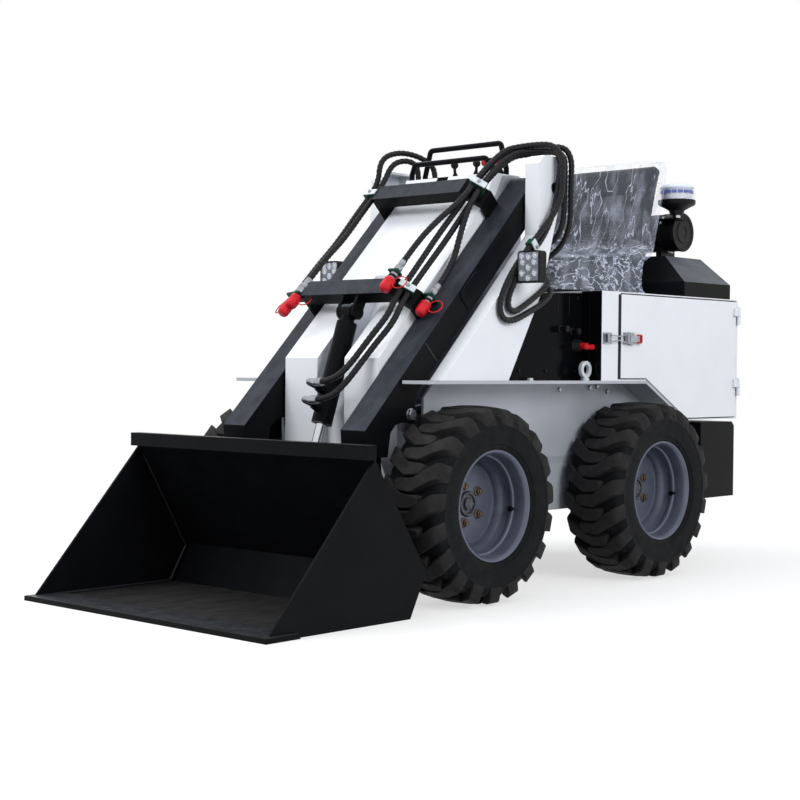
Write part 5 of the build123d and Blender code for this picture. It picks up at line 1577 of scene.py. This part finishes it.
# ---------------------------------------------------------------- lamps, air cleaner, console and latches
@dataclass
class Fittings:
    """Small bought-in parts bolted to the machine."""

    beacon: tuple[float, float, float] = (0.225, 1.082, 1.290)
    lamp_rows: tuple = ((0.0, 0.033), (-0.022, 0.017), (0.022, 0.017), (0.0, 0.0), (-0.024, -0.017),
                        (0.024, -0.017), (0.0, -0.033), (-0.025, 0.036), (0.025, 0.036))
    beacon_lamps: int = 16
    cleaner_middle: tuple[float, float] = (1.154, 1.204)
    light_x: float = 0.430
    lever: float = 0.052
    knob: float = 0.0137
    boots: tuple = ((-0.060, 0.160), (0.030, 0.160), (0.066, 0.168), (0.098, 0.160), (0.130, 0.168))
    latch_z: float = 0.795
    strip_face: float = 0.408
    door_face: float = 0.410

    def beacon_lamp(self) -> None:
        """Warning beacon: stem, flanged foot, blue lamps in a clear band and a pale dome."""
        x, y, z = self.beacon
        up, foot = Z_AXIS, self.beacon
        stem = Shape().turned([(-0.044, 0.0125), (-0.030, 0.0125), (-0.028, 0.0240), (-0.012, 0.0290),
                               (0.0, 0.0500), (0.006, 0.0640), (0.011, 0.0680), (0.014, 0.0680)],
                              foot, up, 64)
        stem.slab((0.150, 1.060, z - 0.0460), (0.243, 1.128, z - 0.0400), 0.0016)
        base = stem.piece("beacon_foot", BARE, "black_plastic")
        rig.replaces(base, "beacon")
        neck = [(-0.0400, 0.0155), (-0.0390, 0.0165), (-0.0300, 0.0165), (-0.0290, 0.0155)]
        Shape().turned(neck, foot, up, 6).piece("beacon_nut", CHROME, "rod_chrome")
        rows = (
            # name, finish, slot, whether the profile is closed, profile
            ("beacon_collar", BARE, "black_plastic", True, [
                (0.0135, 0.0675), (0.015, 0.0685), (0.024, 0.0685), (0.0255, 0.0675), (0.0255, 0.0600),
                (0.0135, 0.0600)]),
            ("beacon_band", LENS, "lens_clear", True, [
                (0.0255, 0.0655), (0.028, 0.0672), (0.060, 0.0682), (0.066, 0.0676), (0.0690, 0.0655),
                (0.0690, 0.0600), (0.0255, 0.0610)]),
            ("beacon_dome", DOME, "lens_clear", False, [
                (0.0640, 0.0598), (0.0700, 0.0635), (0.0760, 0.0590), (0.0820, 0.0480), (0.0860, 0.0330),
                (0.0880, 0.0180), (0.0886, 0.0040)]),
            ("beacon_core", WHITE, "white_paint", True, [
                (0.0260, 0.0030), (0.0260, 0.0560), (0.0650, 0.0560), (0.0650, 0.0030)]),
        )
        for name, finish, slot, closed, profile in rows:
            Shape().turned(profile, foot, up, 64, closed).piece(name, finish, slot)
        lamp = Shape().slab((-0.0093, -0.0055, -0.003), (0.0093, 0.0055, 0.003), 0.0012)
        spots = spokes((x, y, z + 0.054), 0.0575, self.beacon_lamps, Axis.Z)
        Repeat.spots("beacon_lamps", lamp, spots, BLUE, "lens_clear")

    def cleaner(self) -> None:
        """Ends, bands and clips of the air cleaner."""
        _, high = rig.box("air_cleaner")
        y, z = self.cleaner_middle
        shape = Shape()
        shape.turned([(0.0, 0.0705), (0.003, 0.0722), (0.010, 0.0722), (0.0125, 0.0700), (0.0125, 0.0600),
                      (0.0095, 0.0570), (0.0095, 0.0420), (0.0125, 0.0390), (0.0125, 0.0240),
                      (0.0100, 0.0210), (0.0100, 0.003)], (high.x - 0.002, y, z), X_AXIS, 64)
        band = [(0.0, 0.0702), (0.002, 0.0716), (0.012, 0.0716), (0.014, 0.0702)]
        for x in (-0.02, 0.035, 0.135):
            shape.turned(band, (x, y, z), X_AXIS, 64)
        shape.turned([(-0.028, 0.028), (-0.020, 0.034), (0.0, 0.036), (0.035, 0.036), (0.040, 0.033)],
                     (0.02, y - 0.052, z + 0.020), (0, -1, 0.25), 36)
        shape.piece("air_cleaner_ends", BARE, "black_plastic")
        clips = spokes((0.155, y, z), 0.0705, 3, Axis.X, 0.2)
        clip = Shape().slab((-0.006, -0.018, -0.001), (0.006, 0.018, 0.0045), 0.0014)
        Repeat.spots("air_cleaner_clips", clip, clips, STEEL, "zinc_steel")

    def work_light(self, side: int) -> None:
        """Reflectors, lamp chips, lens, bracket and knob of a work light."""
        label = side_name(side)
        low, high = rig.box(f"work_light_{label}")
        face, x, z = low.y, side * self.light_x, (low.z + high.z) / 2
        bowl = Shape().turned([(0.0003, 0.0030), (0.0006, 0.0060), (0.0024, 0.0104), (0.0030, 0.0112),
                               (0.0030, 0.0118), (0.0002, 0.0118), (0.0002, 0.0030)], segments=24,
                              closed=True)
        spots = [((x + across, face + 0.0029, z + rise - 0.002), (0, -1, 0))
                 for across, rise in self.lamp_rows]
        Repeat.spots(f"lamp_bowls_{label}", bowl, spots, REFLECTOR, "lens_clear", size=0.92)
        chip = Shape().turned([(0.0002, 0.0034), (0.0016, 0.0030), (0.0022, 0.0012)], segments=12)
        Repeat.spots(f"lamp_chips_{label}", chip, spots, LAMP, "lens_clear")
        lens = Shape()
        lens.slab((x - 0.0375, face - 0.0009, z - 0.0435), (x + 0.0375, face - 0.0001, z + 0.0435), 0.0003)
        lens.piece(f"lamp_lens_{label}", LENS, "lens_clear")
        inner = x - side * 0.043
        holder = Shape()
        holder.turned([(-0.004, 0.0110), (0.004, 0.0118), (0.009, 0.0118), (0.011, 0.0100)],
                      (inner, face + 0.017, z), (-side, 0, 0), 10)
        holder.slab((min(inner, inner - side * 0.004), face + 0.012, z - 0.050),
                    (max(inner, inner - side * 0.004), face + 0.024, z + 0.010), 0.001)
        holder.piece(f"lamp_bracket_{label}", BARE, "black_plastic")

    def console(self) -> None:
        """Lever knobs, boots and the dark middle strip of the console."""
        top = PLAN.console_top
        red = Shape()
        for x, y, lean in ((0.066, 0.168, radians(4)), (0.130, 0.168, radians(12))):
            tip = Vector((x, y, top)) + Vector((0, -sin(lean), cos(lean))) * self.lever
            red.ball(tuple(tip), self.knob)
        red.piece("lever_knobs", RED, "clamp_green")
        boots = [((x, y, top + 0.0085), Z_AXIS) for x, y in self.boots]
        boot = Shape().turned([(0.0, 0.0125), (0.002, 0.0125), (0.004, 0.0098), (0.006, 0.0105),
                               (0.009, 0.0080), (0.011, 0.0088), (0.014, 0.0062), (0.018, 0.0056)],
                              segments=24)
        Repeat.spots("lever_boots", boot, boots, RUBBER, "black_plastic")
        low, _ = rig.box("console")
        front = low.y
        strip = Shape()
        strip.prism([(front - 0.0006, 1.216), (front - 0.0006, 1.240), (front + 0.0356, top + 0.0008),
                     (0.128, top + 0.0008), (0.128, top - 0.0010), (front + 0.036, top - 0.0010),
                     (front + 0.0008, 1.238), (front + 0.0008, 1.216)], Axis.X, -0.050, -0.004)
        strip.slab((-0.120, 0.066, top - 0.0005), (-0.070, 0.112, top + 0.002), 0.0007)
        strip.piece("console_strip", DEEP, "gloss_black")

    def latch(self, side: int) -> None:
        """Toggle latch over the front edge of a rear door."""
        label = side_name(side)
        face, z = self.door_face, self.latch_z

        def blocks(rows: Sequence[tuple[Point, Point, float]]) -> Shape:
            """Blocks given by two corners, as reach out of the door, place and rise, and their chamfer."""
            shape = Shape()
            for first, second, edge in rows:
                reach = sorted((side * (face + first[0]), side * (face + second[0])))
                shape.slab((reach[0], first[1], z + first[2]), (reach[1], second[1], z + second[2]), edge)
            return shape
        keeper = blocks((
            ((-0.0022, 0.362, -0.019), (0.0006, 0.412, 0.019), 0.0008),
            ((-0.0004, 0.366, -0.014), (0.0130, 0.372, 0.014), 0.0016),
            ((0.0080, 0.366, -0.014), (0.0130, 0.382, 0.014), 0.0016),
        ))
        keeper.piece(f"latch_keeper_{label}", STEEL, "zinc_steel")
        body = blocks((
            ((-0.0002, 0.476, -0.021), (0.0026, 0.540, 0.021), 0.0008),
            ((0.0020, 0.482, -0.017), (0.0150, 0.496, 0.017), 0.003),
            ((0.0020, 0.504, -0.020), (0.0110, 0.530, -0.014), 0.002),
            ((0.0020, 0.504, 0.014), (0.0110, 0.530, 0.020), 0.002),
            ((0.0060, 0.500, -0.012), (0.0125, 0.550, 0.012), 0.0022),
        ))
        half = [(0.0100, 0.508, 0.0145), (0.0105, 0.490, 0.0150), (0.0110, 0.440, 0.0060),
                (0.0110, 0.378, 0.0130), (0.0110, 0.374, 0.0080)]
        bail = [(reach, y, -rise) for reach, y, rise in half] + half[::-1]
        body.pipe([Vector((side * (face + reach), y, z + rise)) for reach, y, rise in bail], 0.0021, 10)
        door = f"door_{label[0]}"
        body.piece(f"latch_body_{label}", STEEL, "zinc_steel", door)
        grip = blocks((
            ((0.0050, 0.546, -0.015), (0.0130, 0.572, -0.0095), 0.0016),
            ((0.0050, 0.546, 0.0095), (0.0130, 0.572, 0.015), 0.0016),
            ((0.0050, 0.566, -0.015), (0.0130, 0.574, 0.015), 0.0022),
        ))
        grip.piece(f"latch_grip_{label}", RED, "clamp_green", door)
        rivets = [((side * (face + 0.0024), y, z + rise), (side, 0, 0)) for y in (0.479, 0.536)
                  for rise in (-0.017, 0.017)]
        Repeat.spots(f"latch_rivets_{label}", domed_rivet(0.0028), rivets, STEEL, "zinc_steel", door)

    def front_plate_and_gap_shade(self, side: int) -> None:
        """A thin gloss-black plate over the front face of the rear body, and a black strip of painted shade in the gap
        along the door's front edge.
        """
        label = side_name(side)
        panel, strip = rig.box("side_panel_left")[1].x, self.strip_face

        def sheet(inner: float, outer: float, front: float, rear: float, bottom: float, top: float,
                  shape: Shape) -> None:
            """A thin plate between two distances from the machine's middle."""
            reach = sorted((side * inner, side * outer))
            shape.slab((reach[0], front, bottom), (reach[1], rear, top), 0.0003)
        facing_plate, gap_shade = Shape(), Shape()
        sheet(panel + 0.0004, strip - 0.0004, 0.3530, 0.3562, 0.6558, 0.9492, facing_plate)
        sheet(panel + 0.0300, panel + 0.0340, 0.3516, 0.3532, 0.6600, 0.9450, facing_plate)
        facing_plate.piece(f"body_front_plate_{label}", DEEP, "gloss_black")
        # Painted shade: a thin black strip standing in for the dark gap in front of the door.
        sheet(strip - 0.0008, strip + 0.0012, 0.4500, 0.4646, 0.6600, 0.9410, gap_shade)
        gap_shade.piece(f"door_seal_{label}", BARE, "black_plastic")

    def switches(self) -> None:
        """Battery switch with its red key, and two knobs, on the left side panel."""
        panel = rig.box("side_panel_left")[1].x
        base = Shape()
        base.turned([(-0.001, 0.024), (0.003, 0.024), (0.006, 0.021), (0.022, 0.019), (0.024, 0.017)],
                    (panel, 0.322, 0.768), X_AXIS, 32)
        for y, z in ((0.236, 0.822), (0.300, 0.815)):
            base.turned([(-0.001, 0.013), (0.004, 0.013), (0.006, 0.009), (0.016, 0.0085), (0.018, 0.011),
                         (0.032, 0.0115), (0.034, 0.009)], (panel, y, z), X_AXIS, 18)
        base.piece("battery_switch", BARE, "black_plastic")
        key = Shape()
        key.turned([(0.023, 0.011), (0.048, 0.010)], (panel, 0.322, 0.768), X_AXIS, 24)
        key.slab((panel + 0.040, 0.300, 0.757), (panel + 0.054, 0.348, 0.772), 0.004)
        key.ball((panel + 0.047, 0.352, 0.7645), 0.0105, (0.8, 1.6, 0.9))
        key.piece("battery_key", RED, "clamp_green")
        # The slots are thin matte black slabs on the panel: painted shade of the openings.
        slots = Shape()
        for y in (0.225, 0.285):
            slots.slab((panel - 0.0004, y - 0.002, 0.868), (panel + 0.0008, y + 0.002, 0.930), 0.0003)
        slots.piece("side_panel_slots", BARE, "black_plastic")

    def build(self) -> None:
        """Makes all the fittings."""
        self.beacon_lamp()
        self.cleaner()
        self.console()
        self.switches()
        for side in (1, -1):
            self.work_light(side)
            self.latch(side)
            self.front_plate_and_gap_shade(side)


# ---------------------------------------------------------------- steelwork details
@dataclass
class Steelwork:
    """Welds, cover plates, pin keepers and bolts on the frame, arms and bucket."""

    arm_out: float = 0.304
    frame_out: float = 0.305
    bucket_in: float = 0.498
    ripple: float = 0.004
    hood_bolt_x: float = 0.352
    ledge_bolt: tuple[float, float] = (0.345, 0.060)
    panel_screws: tuple = ((0.02, 0.685), (0.16, 0.685), (0.32, 0.685), (0.14, 0.925), (0.33, 0.925))
    frame_bolts: tuple = ((0.263, 0.625), (0.432, 0.630), (0.473, 0.634), (0.533, 0.618))

    @staticmethod
    def outward(x: float, rows: Iterable[tuple[float, float]]) -> list[tuple[Point, Point]]:
        """Points on the left and right faces at a distance from the middle, with their directions."""
        return [((side * x, y, z), (side, 0, 0)) for side in (1, -1) for y, z in rows]

    def bead(self, points: Sequence[Point], radius: float = 0.0038) -> Shape:
        """A weld bead with its ripples along a line."""
        line: list[Vector] = []
        for first, second in zip(points, points[1:]):
            start, end = Vector(first), Vector(second)
            count = max(2, ceil((end - start).length / self.ripple))
            line += [start.lerp(end, index / count) for index in range(count)]
        line.append(Vector(points[-1]))
        return Shape().pipe(line, lambda index, angle: radius * (1.0 if index % 2 else 0.82), 8)

    def bucket(self) -> None:
        """Fillet welds inside the bucket, and its cutting edge."""
        for side in (1, -1):
            label = side_name(side)
            x = side * self.bucket_in
            weld = self.bead([(x, -1.195, 0.0120), (x, -0.700, 0.0120), (x, -0.636, 0.118),
                              (x, -0.822, 0.440)])
            weld.piece(f"bucket_weld_{label}", WELD, "black_paint", "bucket_group")
        low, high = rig.box("bucket")
        edge = Shape()
        edge.slab((low.x + 0.0006, low.y + 0.0006, 0.0006), (high.x - 0.0006, low.y + 0.118, 0.0146), 0.0022)
        edge.piece("cutting_edge", EDGE, "black_paint", "bucket_group")

    def arms(self) -> None:
        """Cover plates, splice welds and pin keepers of the lift arms."""
        for side in (1, -1):
            label = side_name(side)
            x = side * self.arm_out

            def outline(rows: Sequence[tuple[float, float]]) -> list[tuple[float, float]]:
                """Points of the arm's side face as the outline of a prism."""
                return [PLAN.on_arm(0, run, rise)[1:] for run, rise in rows]
            plate = Shape()
            rows = [(0.420, -0.030), (0.420, 0.026), (0.430, 0.034), (0.520, 0.034), (0.530, 0.026),
                    (0.530, -0.030)]
            plate.prism(outline(rows), Axis.X, *sorted((x, x + side * 0.003)), 0.0008)
            plate.piece(f"arm_plate_{label}", BLACK, "black_paint", "lift_arms")
            seam = self.bead([PLAN.on_arm(x, 0.742, 0.038), PLAN.on_arm(x, 0.742, -0.038)], 0.003)
            seam.piece(f"arm_weld_{label}", WELD, "black_paint", "lift_arms")
        keepers = [(PLAN.on_arm(side * self.arm_out, 0.935, -0.066), (side, 0, 0)) for side in (1, -1)]
        Repeat.spots("rod_pin_heads", hex_bolt(0.030, 0.012), keepers, STEEL, "zinc_steel", "lift_arms")

    def body(self) -> None:
        """Bolts of the hood, counterweight, side panels, ledges and frame."""
        low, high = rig.box("rear_hood")
        bolts = [((side * self.hood_bolt_x, y, low.z + 0.0006), Z_AXIS) for side in (1, -1)
                 for y in (low.y + 0.05, high.y - 0.05)]
        weight_low, weight_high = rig.box("counterweight")
        for side in (1, -1):
            for z in (weight_low.z + 0.06, weight_high.z - 0.06):
                bolts += [((side * x, weight_high.y, z), (0, 1, 0)) for x in (0.300, 0.100)]
        Repeat.spots("body_bolts", hex_bolt(0.019, 0.009), bolts, BARE, "black_plastic")
        heads = self.outward(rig.box("side_panel_left")[1].x, self.panel_screws)
        Repeat.spots("side_panel_screws", hex_bolt(0.010, 0.0045), heads, BARE, "black_plastic")
        x, y = self.ledge_bolt
        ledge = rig.box("fender_left")[1].z
        feet = [((side * x, y, ledge - 0.0002), Z_AXIS) for side in (1, -1)]
        Repeat.spots("ledge_bolts", hex_bolt(0.017, 0.008), feet, PLATE, "zinc_steel")
        studs = self.outward(self.frame_out, self.frame_bolts)
        Repeat.spots("frame_bolts", hex_bolt(0.013, 0.008), studs, STEEL, "zinc_steel")

    def build(self) -> None:
        """Makes the steelwork details."""
        self.bucket()
        self.arms()
        self.body()


# ---------------------------------------------------------------- CAD nodes and studio
NODE_FINISHES: tuple[tuple[str, Finish], ...] = (
    # first letters of the nodes' names, and their finish
    ("tower", WHITE), ("centre_cover", WHITE), ("console", WHITE), ("rear_body", WHITE), ("door", WHITE),
    ("fender", SILVER), ("chassis", SILVER), ("footwell", SILVER), ("lift_arm", BLACK), ("cross", BLACK),
    ("attachment", BLACK), ("bucket", BUCKET_BLACK), ("side_panel", DEEP), ("rear_hood", BLACK),
    ("counterweight", BLACK), ("air_cleaner", BARE), ("seat", BARE), ("lift_barrel", BLACK),
    ("tilt_barrel", BLACK), ("lift_rod", CHROME), ("tilt_rod", CHROME), ("lifting_eye", PLATE),
    ("axle", STEEL), ("grab", BLACK), ("control", BARE), ("hose_clamp", GREEN), ("engine", BARE),
    ("work_light", BARE), ("hose", SLEEVE), ("couplers", STEEL), ("beacon", BARE), ("tyre", RUBBER),
    ("rim", RIM),
)


def paint_nodes() -> None:
    """Gives every CAD node its finish."""
    for name, node in frame["nodes"].items():
        finish = next(finish for start, finish in NODE_FINISHES if name.startswith(start))
        node.data.materials.clear()
        node.data.materials.append(finish.make())


@dataclass
class Studio:
    """Floor, light, world and camera."""

    camera_place: Point = (3.4027, -3.9016, 0.6962)
    azimuth: float = 42.373
    elevation: float = 1.2222
    roll: float = 0.5237
    lens: float = 71.075
    sensor: float = 36.0
    floor_half: float = 40.0
    key_power: float = 240.0
    side_power: float = 260.0
    back_power: float = 160.0
    low_sky: float = 0.30
    high_sky: float = 1.05
    sky_top: float = 0.85
    sky: tuple = (0.93, 0.96, 1.0, 1)

    def camera(self) -> None:
        """The camera, 0.7 m above the floor, ahead of the machine and to its left."""
        data = bpy.data.cameras.new("camera")
        data.lens = self.lens
        data.sensor_width = self.sensor
        camera = place_object("camera", data)
        bpy.context.scene.camera = camera
        turn, lift, lean = radians(self.azimuth), radians(self.elevation), radians(self.roll)
        back = Vector((sin(turn) * cos(lift), -cos(turn) * cos(lift), sin(lift)))
        right = Vector(Z_AXIS).cross(back).normalized()
        up = back.cross(right)
        side, top = right * cos(lean) + up * sin(lean), up * cos(lean) - right * sin(lean)
        camera.matrix_world = Matrix.Translation(self.camera_place) @ axes(side, top, back)

    def floor(self) -> None:
        """A pale floor that keeps the machine's shadow and fades into the white backdrop."""
        graph = Graph("studio_floor")
        graph.shader.inputs["Roughness"].default_value = 0.7
        graph.shader.inputs["Specular IOR Level"].default_value = 0.15
        reach = graph.add("ShaderNodeVectorMath", {0: graph.place()}, operation="LENGTH").outputs["Value"]
        far = graph.span(reach, 0.60, 1.0, 1.5, 2.9)
        path = graph.add("ShaderNodeLightPath").outputs
        mirror = graph.sums("MAXIMUM", path["Is Glossy Ray"], path["Is Transmission Ray"])
        seen = graph.sums("MAXIMUM", path["Is Camera Ray"], mirror)
        graph.into("Base Color", graph.mix(seen, (0.34, 0.34, 0.35), (0.86, 0.86, 0.86)))
        white = graph.add("ShaderNodeEmission", {"Strength": 1.0, "Color": (1, 1, 1, 1)})
        mix = graph.add("ShaderNodeMixShader", {0: graph.sums("MULTIPLY", far, seen),
                                                1: graph.shader.outputs[0], 2: white.outputs[0]})
        graph.tree.links.new(mix.outputs[0], graph.output.inputs[0])
        half = self.floor_half
        data = bpy.data.meshes.new("floor")
        data.from_pydata([(-half, -half, -0.0005), (half, -half, -0.0005), (half, half, -0.0005),
                          (-half, half, -0.0005)], [], [(0, 1, 2, 3)])
        item = place_object("floor", data)
        data.materials.append(graph.material)
        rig.stage(item)

    def lamp(self, name: str, place: Point, aim: Point, size: float, power: float) -> None:
        """A square soft light."""
        data = bpy.data.lights.new(name, "AREA")
        data.size = size
        data.energy = power
        item = place_object(name, data)
        item.matrix_world = Matrix.Translation(place) @ facing(Vector(place) - Vector(aim))
        item.visible_glossy = False

    def world(self) -> None:
        """A grey-white surround that the camera and mirrors see as white."""
        world = bpy.data.worlds.new("studio")
        bpy.context.scene.world = world
        world.use_nodes = True
        tree = world.node_tree
        tree.nodes.clear()
        place = add_node(tree, "ShaderNodeTexCoord").outputs["Generated"]
        height = add_node(tree, "ShaderNodeSeparateXYZ", {0: place}).outputs[2]
        rise = add_node(tree, "ShaderNodeMapRange", {"Value": height, "From Max": self.sky_top,
                                                     "To Min": self.low_sky, "To Max": self.high_sky})
        plain = add_node(tree, "ShaderNodeBackground", {"Color": self.sky, "Strength": rise.outputs[0]})
        seen = add_node(tree, "ShaderNodeBackground", {"Color": (1, 1, 1, 1), "Strength": 1.0})
        path = add_node(tree, "ShaderNodeLightPath").outputs
        mirror = add_node(tree, "ShaderNodeMath", {0: path["Is Glossy Ray"], 1: path["Is Transmission Ray"]},
                          operation="MAXIMUM")
        pick = add_node(tree, "ShaderNodeMath", {0: path["Is Camera Ray"], 1: mirror.outputs[0]},
                        operation="MAXIMUM")
        mix = add_node(tree, "ShaderNodeMixShader", {0: pick.outputs[0], 1: plain.outputs[0],
                                                     2: seen.outputs[0]})
        add_node(tree, "ShaderNodeOutputWorld", {0: mix.outputs[0]})

    def build(self) -> None:
        """Sets up the studio."""
        bpy.context.scene.view_settings.view_transform = "Standard"
        self.camera()
        self.floor()
        self.world()
        self.lamp("key", (-1.6, -5.2, 4.6), (0, -0.2, 0.6), 3.4, self.key_power)
        self.lamp("side", (6.2, -0.8, 3.6), (0, 0.2, 0.6), 3.2, self.side_power)
        self.lamp("back", (-3.4, -0.6, 4.8), (0, -0.2, 0.8), 2.2, self.back_power)


def main() -> None:
    """Builds the looks of the machine, part by part."""
    logging.basicConfig(level=logging.INFO, format="%(message)s")
    cad = [list(corner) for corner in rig.bounds()]
    Studio().build()
    paint_nodes()
    Hydraulics().build()
    for name in ("front_left", "front_right", "rear_left", "rear_right"):
        Wheel(name, 1 if name.endswith("left") else -1).build()
    Seat().build()
    Fittings().build()
    Steelwork().build()
    visual = [list(corner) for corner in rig.bounds()]
    with open("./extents.json", "w", encoding="utf-8") as file:
        json.dump({"cad": cad, "visual": visual}, file)


if __name__ == "__main__":
    main()
